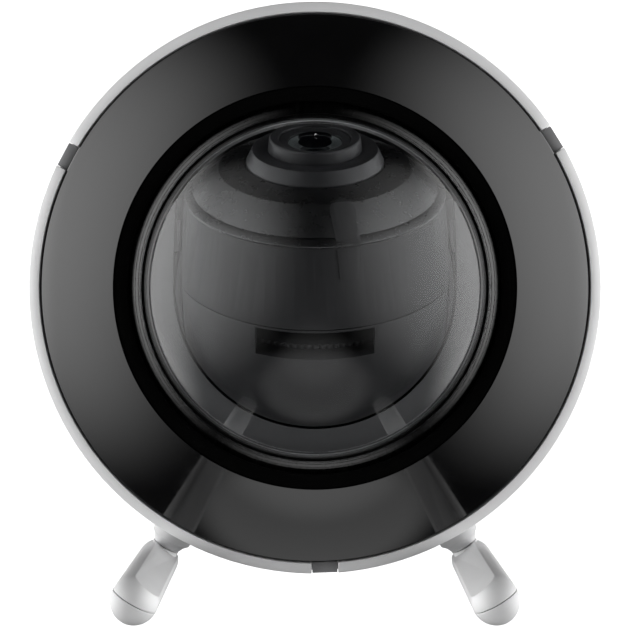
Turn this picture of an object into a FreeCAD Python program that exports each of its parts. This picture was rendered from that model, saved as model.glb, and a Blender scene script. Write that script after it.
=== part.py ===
"""Ceiling dome camera with two stub antennas, as separate pieces in one frame.

The origin is the centre of the flat mounting face. +Z runs out along the dome axis, and the camera head
looks towards +Y at rest. Lengths are in millimetres and angles in degrees.
"""
import FreeCAD
import Part
import math
import os
import sys

import Sketcher
from FreeCAD import Placement, Rotation, Vector

# Driving dimensions. Each is one cell of the sheet, and its name is the cell's alias.
SIZES = {
    # Mounting plate and gasket
    "plate_inset": 3.0,
    "plate_thick": 2.5,
    "plate_hole_gap": 1.5,
    "fixing_inset": 9.0,
    "fixing_hole_radius": 2.3,
    "fixing_angle": 45.0,
    "fixing_pocket_radius": 4.5,
    "gasket_inset": 0.5,
    "gasket_width": 4.5,
    "gasket_thick": 1.0,
    # Rear housing
    "base_taper": 8.2,
    "base_bevel": 1.5,
    "floor_thick": 3.0,
    "floor_wall": 3.0,
    "cable_hole_radius": 9.0,
    "shoulder_inset": 1.15,
    "shoulder_margin": 1.4,
    "housing_wall": 4.2,
    "rim_slack": 0.4,
    "rim_width": 3.9,
    "rim_rise": 1.5,
    "rim_bevel": 2.0,
    "seal_groove_edge": 1.3,
    "seal_groove_width": 1.6,
    "seal_groove_depth": 1.0,
    "seal_slack": 0.1,
    # Trim ring and the ring that locks it
    "trim_wall": 3.05,
    "trim_depth": 7.0,
    "trim_bevel": 0.4,
    "trim_fall": 1.1,
    "notch_width": 7.0,
    "notch_angle": -88.0,
    "lock_lip": 0.5,
    "lock_thick": 2.5,
    "lock_tab_gap": 0.2,
    "lock_tab_inset": 0.15,
    "lock_tab_drop": 1.9,
    "ring_clearance": 0.3,
    # Conical fascia
    "fascia_width": 20.5,
    "fascia_edge": 0.5,
    "fascia_cover": 1.0,
    "fascia_thick": 2.0,
    "fascia_skirt": 2.2,
    "fascia_lip_overlap": 1.6,
    "fascia_lip_thick": 0.8,
    "collar_step": 0.5,
    "collar_wall": 2.5,
    "boss_radius": 2.4,
    "boss_bite": 0.2,
    "boss_cover": 0.3,
    # Dome, its seal and the ring behind it
    "dome_rise": 9.5,
    "lens_gap": 2.2,
    "dome_wall": 1.2,
    "dome_flange_width": 6.2,
    "dome_flange_thick": 1.6,
    "dome_step_width": 1.6,
    "dome_step": 0.3,
    "flange_drop": 0.5,
    "seal_reach": 1.2,
    "seal_thick": 0.7,
    "seal_gap": 0.2,
    "retainer_flange": 1.8,
    "retainer_rise": 2.9,
    "retainer_screw_radius": 1.3,
    "retainer_head_radius": 2.2,
    "retainer_head_thick": 1.4,
    "retainer_screw_length": 3.8,
    "screw_clearance": 0.1,
    # Infrared lamp ring behind the fascia
    "lamp_board_gap": 1.8,
    "lamp_board_width": 7.5,
    "lamp_board_thick": 1.2,
    "lamp_inset": 4.0,
    "lamp_radius": 1.7,
    "lamp_length": 1.6,
    "lamp_angle": 22.5,
    # Liner cup
    "liner_inset": 0.2,
    "liner_wall": 0.8,
    "liner_floor": 2.8,
    "liner_hole_gap": 0.6,
    "liner_gap": 0.3,
    # Pan base and its posts
    "pan_base_gap": 3.5,
    "pan_base_thick": 3.7,
    "pan_base_edge": 4.0,
    "post_radius": 3.6,
    "post_screw_radius": 1.5,
    "post_head_radius": 2.7,
    "post_head_thick": 1.6,
    "post_head_gap": 0.9,
    "post_screw_length": 10.0,
    # Yoke
    "hub_radius": 12.0,
    "hub_wall": 4.0,
    "hub_foot": 2.1,
    "running_clearance": 0.05,
    "yoke_gap": 0.3,
    "yoke_disc_edge": 2.2,
    "yoke_disc_thick": 2.5,
    "sweep_gap": 0.5,
    "cheek_gap": 0.4,
    "cheek_back": 13.4,
    "cheek_front": 22.5,
    "cheek_stem": 12.0,
    "cheek_shoulder": 15.5,
    "cheek_top": 12.5,
    # Shroud that turns with the yoke and covers the space between the head and the dome
    "shroud_slot_gap": 0.3,
    "shroud_edge_gap": 0.3,
    "shroud_thick": 1.1,
    "shroud_drop": 0.8,
    "shroud_rise": 5.5,
    "shroud_skirt": 4.2,
    "shroud_horn": 22.0,
    "lug_width": 8.0,
    "lug_y": 13.0,
    "lug_depth": 1.1,
    "lug_thick": 2.4,
    "lug_drop": 7.5,
    # Clip that holds the yoke in the base
    "pan_clip_thick": 1.5,
    "pan_clip_gap": 0.4,
    "pan_clip_width": 3.0,
    "pan_groove_depth": 0.8,
    "pivot_radius": 2.95,
    "pivot_reach": 1.8,
    # Camera head, about the dome's centre, with the optical axis turned from the dome axis
    "head_tilt": 62.0,
    "head_radius": 35.0,
    "flat_inset": 3.1,
    "flat_wall": 1.6,
    "window_half_width": 13.6,
    "window_back": 0.1,
    "window_length": 6.9,
    "window_margin": 0.6,
    "seam_gap": 0.2,
    "middle_length": 18.4,
    "middle_taper": 3.8,
    "middle_wall": 1.4,
    "web_setback": 1.2,
    "web_thick": 3.0,
    "head_rim_step": 0.4,
    "head_rim_setback": 0.3,
    "head_rim_thick": 0.4,
    "groove_inset": 1.7,
    "groove_setback": 0.9,
    "groove_depth": 0.7,
    "groove_width": 0.5,
    "cone_taper": 6.7,
    "cone_length": 5.4,
    "crown_length": 1.2,
    "front_wall": 1.8,
    "front_bore_wall": 1.6,
    # Long tab over the rim of the head, seen along the dome axis
    "tab_rise": 0.35,
    "tab_foot_y": 1.7,
    "tab_foot_left": 5.6,
    "tab_foot_width": 4.0,
    "tab_bend_y": 10.3,
    "tab_bend_left": 4.6,
    "tab_bend_width": 5.4,
    "tab_tip_x": 6.15,
    "tab_tip_y": 17.0,
    "tab_tip_radius": 2.95,
    "tab_plane_rise": 4.5,
    # Lens group, which turns about the optical axis
    "adjust_gap": 0.7,
    "adjust_tooth": 0.5,
    "adjust_back": 3.2,
    "adjust_front": 0.6,
    "adjust_bore_radius": 12.0,
    "carrier_step": 3.5,
    "carrier_wall": 6.0,
    "carrier_proud": 0.5,
    "roll_clip_width": 3.0,
    "roll_clip_thick": 1.2,
    "sensor_board_side": 26.0,
    "sensor_board_thick": 1.4,
    "sensor_width": 10.0,
    "sensor_height": 8.0,
    "sensor_thick": 1.6,
    "sensor_gap": 5.6,
    "snout_radius": 16.5,
    "snout_gap": 0.5,
    "snout_proud": 0.2,
    "snout_bevel": 1.5,
    "snout_nose": 3.05,
    "snout_seat_depth": 1.65,
    "barrel_play": 0.1,
    "barrel_wall": 2.0,
    "barrel_front_wall": 2.9,
    "barrel_flange_width": 4.1,
    "barrel_flange_set": 6.6,
    "barrel_flange_thick": 3.0,
    "barrel_front_radius": 8.4,
    "barrel_proud": 1.0,
    "lens_ring_width": 2.5,
    "lens_ring_foot": 0.3,
    "lens_ring_proud": 2.95,
    "lens_ring_bevel": 0.4,
    "iris_width": 2.7,
    "iris_thick": 2.0,
    "iris_drop": 1.0,
    "lens_cell_wall": 1.9,
    "lens_cell_length": 2.8,
    "glass_gap": 0.1,
    "glass_rest": 0.2,
    "glass_curve": 13.0,
    "rear_glass_thick": 1.2,
    # Antennas
    "antenna_angle": 30.0,
    "antenna_half_width": 5.6,
    "antenna_wall": 1.3,
    "antenna_below": 2.4,
    "antenna_foot": 3.2,
    "antenna_above": 52.4,
    "antenna_tip": 5.6,
    "antenna_facet": 4.3,
    "antenna_twist_angle": 12.0,
    "antenna_lean_angle": 4.5,
    "antenna_seam": 0.25,
    "neck_radius": 3.8,
    "neck_root_radius": 5.6,
    "neck_waist_radius": 4.5,
    "neck_shank_radius": 3.9,
    "neck_hole_slack": 0.1,
    "neck_margin": 0.4,
    "neck_setback": 0.2,
    "neck_sink": 1.2,
    "neck_root_length": 3.2,
    "neck_flare_length": 1.1,
    "neck_waist_length": 1.4,
    "antenna_collar_gap": 0.3,
    "antenna_collar_proud": 0.6,
    "antenna_collar_set": 0.3,
    "stem_radius": 2.0,
    "stem_wall": 0.9,
    "stem_foot": 0.7,
    "stem_proud": 0.7,
    "stem_clip_width": 1.6,
    "stem_clip_thick": 1.0,
    "stem_clip_gap": 1.0,
    "element_width": 4.4,
    "element_thick": 0.8,
    "element_top_gap": 3.6,
    "element_gap": 0.2,
    # Cable grommet and the screws into the plate
    "grommet_bore_radius": 3.6,
    "grommet_lip_width": 3.5,
    "grommet_lip": 2.0,
    "grommet_base": 1.0,
    "grommet_slack": 0.2,
    "housing_screw_circle": 30.0,
    "housing_screw_angle": 90.0,
    "housing_screw_radius": 1.5,
    "housing_head_radius": 3.0,
    "housing_head_thick": 1.8,
    "housing_screw_foot": 0.4,
    # Main board and what it carries
    "board_gap": 4.5,
    "board_thick": 1.6,
    "board_edge": 4.0,
    "standoff_inset": 9.0,
    "standoff_radius": 2.8,
    "board_screw_radius": 1.2,
    "board_head_radius": 2.2,
    "board_head_thick": 1.2,
    "board_screw_length": 3.5,
    "board_hole_radius": 8.5,
    "board_post_clearance": 0.6,
    "processor_side": 14.0,
    "processor_thick": 1.4,
    "heatsink_side": 22.0,
    "heatsink_base": 1.6,
    "heatsink_height": 6.0,
    "heatsink_fin": 1.0,
    "heatsink_post_gap": 2.4,
    "capacitor_radius": 3.0,
    "capacitor_height": 6.5,
    "capacitor_circle": 33.0,
    "capacitor_first_angle": 100.0,
    "capacitor_pitch_angle": 16.0,
    "header_length": 14.0,
    "header_width": 6.0,
    "header_height": 6.0,
    "header_wall": 1.0,
    "header_x": 22.0,
    "header_y": 22.0,
    "slot_length": 14.0,
    "slot_width": 12.0,
    "slot_height": 1.9,
    "slot_mouth": 0.8,
    "slot_x": 30.0,
    "slot_y": -14.0,
    "switch_side": 6.2,
    "switch_height": 3.6,
    "switch_floor": 1.0,
    "switch_x": -32.0,
    "switch_y": -10.0,
    "button_radius": 1.7,
    "button_length": 3.6,
    "button_lift": 0.5,
}

NOTCHES = 3
FIXINGS = 4
RETAINER_SCREWS = 6
LAMPS = 8
HOUSING_SCREWS = 3
ADJUST_TEETH = 112
HEATSINK_FINS = 5
CAPACITORS = 3
FULL_TURN = 360.0
QUARTER_TURN = 90.0

doc = FreeCAD.newDocument("dome_camera")
sheet = doc.addObject("Spreadsheet::Sheet", "Sizes")


class Size:
    """A length or angle with the sheet expression that it comes from."""

    def __init__(self, text, value):
        self.text = text
        self.value = value

    def joined(self, sign, other, value):
        return Size(f"({self.text} {sign} {as_size(other).text})", value)

    def __add__(self, other):
        return self.joined("+", other, self.value + as_size(other).value)

    def __sub__(self, other):
        return self.joined("-", other, self.value - as_size(other).value)

    def __mul__(self, other):
        return self.joined("*", other, self.value * as_size(other).value)

    def __truediv__(self, other):
        return self.joined("/", other, self.value / as_size(other).value)

    def __neg__(self):
        return Size(f"(0 - {self.text})", -self.value)


def as_size(number):
    return number if isinstance(number, Size) else Size(repr(float(number)), float(number))


class Cells:
    """The sheet's sizes by name. A name that is set here becomes a cell of its own."""

    def __setattr__(self, name, number):
        size = as_size(number)
        row = len(vars(self)) + 1
        sheet.set(f"A{row}", name)
        sheet.set(f"B{row}", "=" + size.text.replace("Sizes.", ""))
        sheet.setAlias(f"B{row}", name)
        vars(self)[name] = Size(f"Sizes.{name}", size.value)


def reach(across, along):
    """Distance of a corner from the centre of the dome."""
    return Size(f"sqrt({across.text}^2 + {along.text}^2)", math.hypot(across.value, along.value))


def largest(*sizes):
    texts = "; ".join(size.text for size in sizes)
    return Size(f"max({texts})", max(size.value for size in sizes))


S = Cells()
for name, number in SIZES.items():
    setattr(S, name, number)
ZERO = as_size(0)
nodes = []


def fresh_name(stem):
    return f"{stem}_{len(doc.Objects)}"


def node(label, thing):
    """Gives a finished sub-part its own label, which names its file."""
    thing.Label = label
    nodes.append(thing)
    return thing


def bind(thing, **sizes):
    for name, number in sizes.items():
        thing.setExpression(name, as_size(number).text)


def put(thing, x=ZERO, y=ZERO, z=ZERO):
    """Moves a primitive to a place that stays bound to the sheet."""
    for letter, number in zip("xyz", (x, y, z)):
        thing.setExpression(f"Placement.Base.{letter}", as_size(number).text)
    return thing


def turn(axis, degrees, centre=Vector()):
    return Placement(Vector(), Rotation(axis, degrees), centre)


def moved(thing, placement):
    thing.Placement = placement
    return thing


def rod(radius, height, x=ZERO, y=ZERO, z=ZERO):
    """A cylinder along Z that stands on the point given."""
    made = doc.addObject("Part::Cylinder", fresh_name("rod"))
    bind(made, Radius=radius, Height=height)
    return put(made, x, y, z)


def side_rod(radius, start, length, height):
    """A cylinder along X, from start outwards, at a height."""
    made = doc.addObject("Part::Cylinder", fresh_name("side_rod"))
    bind(made, Radius=radius, Height=length)
    made.Placement = Placement(Vector(), Rotation(Vector(0, 1, 0), 90))
    return put(made, start, ZERO, height)


def block(length, width, height, x=ZERO, y=ZERO, z=ZERO):
    """A box centred in X and Y on the point given, which it stands on."""
    made = doc.addObject("Part::Box", fresh_name("block"))
    bind(made, Length=length, Width=width, Height=height)
    return put(made, as_size(x) - as_size(length) / 2, as_size(y) - as_size(width) / 2, z)


def ball(radius, low=-QUARTER_TURN, high=QUARTER_TURN, z=ZERO):
    made = doc.addObject("Part::Sphere", fresh_name("ball"))
    made.Angle1 = low
    made.Angle2 = high
    bind(made, Radius=radius)
    return put(made, z=z)


def egg(radius, rise, low, high, x, z):
    """Half of an ellipsoid about Z, for a rounded end."""
    made = doc.addObject("Part::Ellipsoid", fresh_name("egg"))
    bind(made, Radius1=rise, Radius2=radius, Radius3=radius)
    made.Angle1 = low
    made.Angle2 = high
    return put(made, x, ZERO, z)


def fuse(*things):
    made = doc.addObject("Part::MultiFuse", fresh_name("fuse"))
    made.Shapes = list(things)
    made.Refine = True
    return made


def group(things):
    made = doc.addObject("Part::Compound", fresh_name("group"))
    made.Links = list(things)
    return made


def cut(base, *tools):
    made = doc.addObject("Part::Cut", fresh_name("cut"))
    made.Base = base
    made.Tool = tools[0] if len(tools) == 1 else group(tools)
    return made


def common(*things):
    made = doc.addObject("Part::MultiCommon", fresh_name("common"))
    made.Shapes = list(things)
    return made


def on_circle(count, circle, first, make):
    """Places count copies round the Z axis. make takes the radius and returns one copy on the X side."""
    made = []
    for index in range(count):
        angle = first + index * FULL_TURN / count
        copy = group([make(circle)])
        made.append(moved(copy, turn(Vector(0, 0, 1), angle)))
    return made


def origin_plane(body, role):
    return next(plane for plane in body.Origin.OriginFeatures if plane.Role == role)


def closed_sketch(body, role, points):
    """Draws a closed outline whose corners are bound to the sheet."""
    sketch = body.newObject("Sketcher::SketchObject", fresh_name("outline"))
    sketch.AttachmentSupport = [(origin_plane(body, role), "")]
    sketch.MapMode = "FlatFace"
    corners = [(as_size(across), as_size(up)) for across, up in points]
    count = len(corners)
    places = [Vector(across.value, up.value, 0) for across, up in corners]
    for index in range(count):
        sketch.addGeometry(Part.LineSegment(places[index], places[(index + 1) % count]), False)
    for index in range(count):
        sketch.addConstraint(Sketcher.Constraint("Coincident", index, 2, (index + 1) % count, 1))
    for index, corner in enumerate(corners):
        for kind, axis, size in zip(("DistanceX", "DistanceY"), (-2, -1), corner):
            if size.value == 0:
                sketch.addConstraint(Sketcher.Constraint("PointOnObject", index, 1, axis))
                continue
            number = sketch.addConstraint(
                Sketcher.Constraint(kind, -1, 1, index, 1, size.value)
            )
            sketch.setExpression(f"Constraints[{number}]", size.text)
    return sketch


def turned(points):
    """A body turned about Z from a closed outline of (radius, height) corners."""
    body = doc.addObject("PartDesign::Body", fresh_name("turned"))
    sketch = closed_sketch(body, "XZ_Plane", points)
    feature = body.newObject("PartDesign::Revolution", fresh_name("revolution"))
    feature.Profile = sketch
    feature.ReferenceAxis = (sketch, ["V_Axis"])
    feature.Angle = FULL_TURN
    body.Tip = feature
    return body


def tube_points(inner, outer, low, high):
    return ((inner, low), (outer, low), (outer, high), (inner, high))


def screw(radius, length, head_radius, head_thick, x, seat, head_above=True):
    """One screw on the X side. Its head sits on seat, and its shank runs the other way."""
    if head_above:
        shank = rod(radius, length, x=x, z=seat - length)
        head = rod(head_radius, head_thick, x=x, z=seat)
    else:
        shank = rod(radius, length, x=x, z=seat)
        head = rod(head_radius, head_thick, x=x, z=seat - head_thick)
    return fuse(shank, head)


# Heights that follow, from the mounting face up to the dome
floor_bottom = S.plate_thick + S.gasket_thick
floor_top = floor_bottom + S.floor_thick
S.board_height = floor_top + S.board_gap
board_top = S.board_height + S.board_thick
S.heatsink_top = board_top + S.processor_thick + S.heatsink_height
S.pan_base_height = S.heatsink_top + S.pan_base_gap
pan_base_top = S.pan_base_height + S.pan_base_thick
yoke_bottom = pan_base_top + S.yoke_gap
yoke_top = yoke_bottom + S.yoke_disc_thick
S.dome_centre_height = yoke_top + S.sweep_gap + S.head_radius
dome_centre = S.dome_centre_height
S.trim_front = dome_centre - S.dome_rise
S.trim_bottom = S.trim_front - S.trim_depth
trim_bottom = S.trim_bottom
rim_top = trim_bottom + S.rim_rise
lock_top = rim_top + S.lock_thick
S.notch_depth = S.trim_depth - S.rim_rise
flange_top = dome_centre - S.flange_drop
flange_bottom = flange_top - S.dome_flange_thick
S.retainer_step_height = flange_bottom - S.retainer_rise
retainer_step = S.retainer_step_height
retainer_bottom = retainer_step - S.retainer_flange
S.fascia_crest_height = flange_top + S.fascia_lip_thick + S.fascia_cover
fascia_crest = S.fascia_crest_height
S.pivot_height = trim_bottom - S.neck_root_radius - S.neck_margin
S.shoulder_height = S.pivot_height - S.neck_root_radius - S.shoulder_margin

# Distances that follow along the optical axis, from the centre of the dome
S.window_front = S.window_back + S.window_length
S.head_seam = S.window_front + S.window_margin
S.seam_end = S.head_seam + S.seam_gap
S.middle_end = S.seam_end + S.middle_length
S.web_start = S.seam_end + S.web_setback
S.web_end = S.web_start + S.web_thick
S.roll_clip_start = S.web_end + S.ring_clearance
S.carrier_end = S.roll_clip_start + S.roll_clip_thick + S.carrier_proud
S.head_rim_start = S.middle_end + S.head_rim_setback
S.head_rim_end = S.head_rim_start + S.head_rim_thick
S.groove_start = S.head_rim_end + S.groove_setback
S.cone_end = S.groove_start + S.cone_length
S.front_end = S.cone_end + S.crown_length
S.snout_side_end = S.front_end + S.snout_proud
S.snout_face = S.snout_side_end + S.snout_nose
S.snout_seat = S.snout_face - S.snout_seat_depth
S.barrel_start = S.sensor_thick + S.sensor_gap - S.adjust_back
S.barrel_flange_start = S.snout_side_end - S.barrel_flange_set
S.barrel_end = S.snout_seat + S.barrel_proud
S.lens_ring_front = S.snout_face + S.lens_ring_proud
S.lens_cell_front = S.barrel_end + S.lens_cell_length
S.iris_front = S.barrel_end + S.iris_thick
S.glass_seat = S.iris_front + S.glass_rest

# Radii that follow in the camera head, from its outside inwards
S.head_flat = S.head_radius - S.flat_inset
S.head_cavity = S.head_flat - S.flat_wall
S.adjust_radius = S.head_cavity - S.adjust_gap
S.middle_front_radius = S.head_radius - S.middle_taper
S.middle_bore_radius = S.middle_front_radius - S.middle_wall
S.head_rim_radius = S.middle_front_radius + S.head_rim_step
S.groove_radius = S.head_rim_radius - S.groove_inset
S.groove_floor_radius = S.groove_radius - S.groove_depth
S.front_bore_radius = S.groove_floor_radius - S.front_bore_wall
S.cone_radius = S.groove_radius - S.cone_taper
S.front_hole_radius = S.snout_radius + S.snout_gap
S.carrier_radius = S.snout_radius + S.carrier_step
S.carrier_bore_radius = S.carrier_radius - S.carrier_wall
S.roll_clip_radius = S.carrier_radius + S.roll_clip_width
S.snout_face_radius = S.snout_radius - S.snout_bevel
S.barrel_bore_radius = S.barrel_front_radius - S.barrel_front_wall
S.barrel_radius = S.barrel_bore_radius + S.barrel_wall
S.barrel_flange_radius = S.barrel_front_radius + S.barrel_flange_width
S.snout_bore_radius = S.barrel_flange_radius + S.barrel_play
S.lens_ring_radius = S.barrel_front_radius + S.lens_ring_width
S.lens_ring_base_radius = S.lens_ring_radius + S.lens_ring_foot
S.lens_seat_radius = S.lens_ring_base_radius + S.barrel_play
S.iris_radius = S.barrel_front_radius - S.lens_cell_wall
S.pupil_radius = S.iris_radius - S.iris_width
S.glass_radius = S.iris_radius - S.glass_gap

# Radii that follow about the dome axis, from the camera head outwards
S.cheek_inner = S.head_flat + S.cheek_gap
S.yoke_disc_radius = S.head_radius + S.yoke_disc_edge
S.hub_bore_radius = S.hub_radius - S.hub_wall
bore_radius = S.hub_radius + S.running_clearance
S.pan_clip_radius = S.hub_radius + S.pan_clip_width
S.liner_hole_radius = S.yoke_disc_radius + S.liner_hole_gap
S.head_reach = reach(S.head_rim_radius + S.tab_rise, S.head_rim_end + S.tab_rise)
S.cheek_reach = reach(S.head_radius, S.cheek_front)
S.dome_inner_radius = largest(
    S.lens_ring_front + S.lens_gap, S.head_reach + S.sweep_gap, S.cheek_reach + S.sweep_gap
)
S.dome_radius = S.dome_inner_radius + S.dome_wall
S.liner_inner_radius = S.dome_inner_radius - S.liner_inset
S.liner_outer_radius = S.liner_inner_radius + S.liner_wall
S.shroud_radius = S.liner_inner_radius - S.shroud_edge_gap
S.shroud_slot_radius = S.head_radius + S.shroud_slot_gap
S.lug_inner = S.head_radius - S.lug_depth
S.post_circle = S.liner_outer_radius + S.post_head_radius + S.post_head_gap
S.pan_base_radius = S.post_circle + S.pan_base_edge
S.dome_step_radius = S.dome_radius + S.dome_step_width
S.dome_flange_radius = S.dome_radius + S.dome_flange_width
S.fascia_lip_radius = S.dome_flange_radius - S.fascia_lip_overlap
S.seal_inner_radius = S.fascia_lip_radius - S.seal_reach
S.collar_inner_radius = S.dome_flange_radius + S.ring_clearance
S.collar_outer_radius = S.collar_inner_radius + S.collar_wall
S.fascia_hole_radius = S.collar_inner_radius + S.collar_step
S.retainer_inner_radius = S.liner_outer_radius + S.ring_clearance
S.retainer_circle = S.collar_outer_radius + S.boss_radius - S.boss_bite
S.retainer_radius = S.retainer_circle + S.boss_radius
S.fascia_radius = S.fascia_hole_radius + S.fascia_width + S.fascia_edge
S.fascia_slope = (fascia_crest - S.trim_front) / S.fascia_width
S.skirt_inner_radius = S.fascia_radius - S.fascia_skirt
S.lamp_board_radius = S.skirt_inner_radius - S.lamp_board_gap
S.lamp_board_inner = S.lamp_board_radius - S.lamp_board_width
S.lamp_circle = S.lamp_board_radius - S.lamp_inset
S.lock_inner_radius = S.lamp_board_inner - S.lock_lip
S.trim_inner_radius = S.fascia_radius + S.ring_clearance
S.trim_radius = S.trim_inner_radius + S.trim_wall
S.rim_outer_radius = S.trim_inner_radius - S.rim_slack
S.rim_inner_radius = S.rim_outer_radius - S.rim_width
S.seal_groove_outer = S.rim_outer_radius - S.seal_groove_edge
S.seal_groove_inner = S.seal_groove_outer - S.seal_groove_width
S.shoulder_radius = S.trim_radius - S.shoulder_inset
S.wall_inner_radius = S.shoulder_radius - S.housing_wall
S.base_radius = S.shoulder_radius - S.base_taper
S.floor_inner_radius = S.base_radius - S.floor_wall
S.standoff_circle = S.floor_inner_radius - S.standoff_inset
S.board_radius = S.standoff_circle + S.board_edge
S.fixing_circle = S.standoff_circle - S.fixing_inset
S.plate_radius = S.base_radius - S.plate_inset
S.gasket_outer_radius = S.plate_radius - S.gasket_inset
S.gasket_inner_radius = S.gasket_outer_radius - S.gasket_width
S.grommet_lip_radius = S.cable_hole_radius + S.grommet_lip_width
S.plate_hole_radius = S.grommet_lip_radius + S.plate_hole_gap
S.processor_y = (
    S.heatsink_side / 2 + S.heatsink_post_gap + S.post_radius - S.post_circle
)

# Distances that follow along the pivot of an antenna, from the dome axis
S.neck_start = S.wall_inner_radius + S.neck_setback
S.neck_root = S.shoulder_radius - S.neck_sink
S.neck_flare = S.trim_radius + S.neck_root_length
S.neck_waist = S.neck_flare + S.neck_flare_length
S.neck_end = S.neck_waist + S.neck_waist_length
S.antenna_collar_start = S.neck_end + S.antenna_collar_gap
S.antenna_collar_length = S.antenna_collar_proud + S.antenna_wall - S.antenna_collar_set
S.antenna_radius = S.antenna_collar_start + S.antenna_collar_proud + S.antenna_facet
S.stem_clip_start = S.neck_start - S.stem_clip_gap - S.stem_clip_thick
S.stem_clip_radius = S.stem_radius + S.stem_clip_width
S.stem_start = S.stem_clip_start - S.stem_foot
S.stem_end = S.antenna_radius - S.antenna_facet + S.antenna_wall + S.stem_proud
S.stem_bore_radius = S.stem_radius - S.stem_wall
S.element_length = S.antenna_above + S.element_width / 2 - S.element_top_gap
doc.recompute()


def make_plate_group():
    """The plate that is screwed to the ceiling, and the gasket between it and the housing."""
    plate = turned(tube_points(S.plate_hole_radius, S.plate_radius, ZERO, S.plate_thick))
    fixings = on_circle(
        FIXINGS,
        S.fixing_circle,
        S.fixing_angle.value,
        lambda circle: rod(S.fixing_hole_radius, S.plate_thick, x=circle),
    )
    threads = on_circle(
        HOUSING_SCREWS,
        S.housing_screw_circle,
        S.housing_screw_angle.value,
        lambda circle: rod(
            S.housing_screw_radius + S.screw_clearance, S.plate_thick, x=circle
        ),
    )
    node("mounting_plate", cut(plate, *fixings, *threads))
    node(
        "base_gasket",
        turned(
            tube_points(
                S.gasket_inner_radius, S.gasket_outer_radius, S.plate_thick, floor_bottom
            )
        ),
    )
    screws = on_circle(
        HOUSING_SCREWS,
        S.housing_screw_circle,
        S.housing_screw_angle.value,
        lambda circle: screw(
            S.housing_screw_radius,
            floor_top - S.housing_screw_foot,
            S.housing_head_radius,
            S.housing_head_thick,
            circle,
            floor_top,
        ),
    )
    node("housing_screws", group(screws))
    inner_lip = floor_top + S.grommet_lip
    waist = S.cable_hole_radius - S.grommet_slack
    node(
        "cable_grommet",
        turned(
            (
                (S.grommet_bore_radius, S.grommet_base),
                (S.grommet_lip_radius, S.grommet_base),
                (S.grommet_lip_radius, floor_bottom),
                (waist, floor_bottom),
                (waist, floor_top),
                (S.grommet_lip_radius, floor_top),
                (S.grommet_lip_radius, inner_lip),
                (S.grommet_bore_radius, inner_lip),
            )
        ),
    )


def make_housing():
    """The white cup with its posts, standoffs, seal groove and antenna holes."""
    cup = turned(
        (
            (S.cable_hole_radius, floor_bottom),
            (S.base_radius - S.base_bevel, floor_bottom),
            (S.base_radius, floor_bottom + S.base_bevel),
            (S.shoulder_radius, S.shoulder_height),
            (S.shoulder_radius, trim_bottom),
            (S.rim_outer_radius, trim_bottom),
            (S.rim_outer_radius, rim_top),
            (S.rim_inner_radius, rim_top),
            (S.rim_inner_radius, trim_bottom - S.rim_rise / 2),
            (S.wall_inner_radius, trim_bottom - S.rim_rise / 2 - S.rim_bevel),
            (S.wall_inner_radius, S.shoulder_height),
            (S.floor_inner_radius, floor_top),
            (S.cable_hole_radius, floor_top),
        )
    )
    posts = on_circle(
        FIXINGS,
        S.post_circle,
        0,
        lambda circle: rod(
            S.post_radius, S.pan_base_height - floor_bottom, x=circle, z=floor_bottom
        ),
    )
    standoffs = on_circle(
        FIXINGS,
        S.standoff_circle,
        S.fixing_angle.value,
        lambda circle: rod(
            S.standoff_radius, S.board_height - floor_bottom, x=circle, z=floor_bottom
        ),
    )
    solid = fuse(cup, *posts, *standoffs)
    post_hole = S.post_screw_length + S.screw_clearance - S.pan_base_thick
    post_holes = on_circle(
        FIXINGS,
        S.post_circle,
        0,
        lambda circle: rod(
            S.post_screw_radius + S.screw_clearance,
            post_hole,
            x=circle,
            z=S.pan_base_height - post_hole,
        ),
    )
    board_hole = S.board_screw_length + S.screw_clearance - S.board_thick
    board_holes = on_circle(
        FIXINGS,
        S.standoff_circle,
        S.fixing_angle.value,
        lambda circle: rod(
            S.board_screw_radius + S.screw_clearance,
            board_hole,
            x=circle,
            z=S.board_height - board_hole,
        ),
    )
    pockets = on_circle(
        FIXINGS,
        S.fixing_circle,
        S.fixing_angle.value,
        lambda circle: rod(
            S.fixing_pocket_radius, S.floor_thick, x=circle, z=floor_bottom
        ),
    )
    screw_holes = on_circle(
        HOUSING_SCREWS,
        S.housing_screw_circle,
        S.housing_screw_angle.value,
        lambda circle: rod(
            S.housing_screw_radius + S.screw_clearance,
            S.floor_thick,
            x=circle,
            z=floor_bottom,
        ),
    )
    groove = turned(
        tube_points(
            S.seal_groove_inner, S.seal_groove_outer, rim_top - S.seal_groove_depth, rim_top
        )
    )
    neck_holes = [
        moved(
            group(
                [
                    side_rod(
                        S.neck_shank_radius + S.neck_hole_slack,
                        S.rim_inner_radius,
                        S.trim_radius - S.rim_inner_radius,
                        S.pivot_height,
                    )
                ]
            ),
            turn(Vector(0, 0, 1), angle),
        )
        for angle in antenna_angles().values()
    ]
    node(
        "rear_housing",
        cut(
            solid,
            *post_holes,
            *board_holes,
            *pockets,
            *screw_holes,
            groove,
            *neck_holes,
        ),
    )
    node(
        "housing_seal",
        turned(
            tube_points(
                S.seal_groove_inner + S.seal_slack,
                S.seal_groove_outer - S.seal_slack,
                rim_top - S.seal_groove_depth,
                rim_top,
            )
        ),
    )


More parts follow.
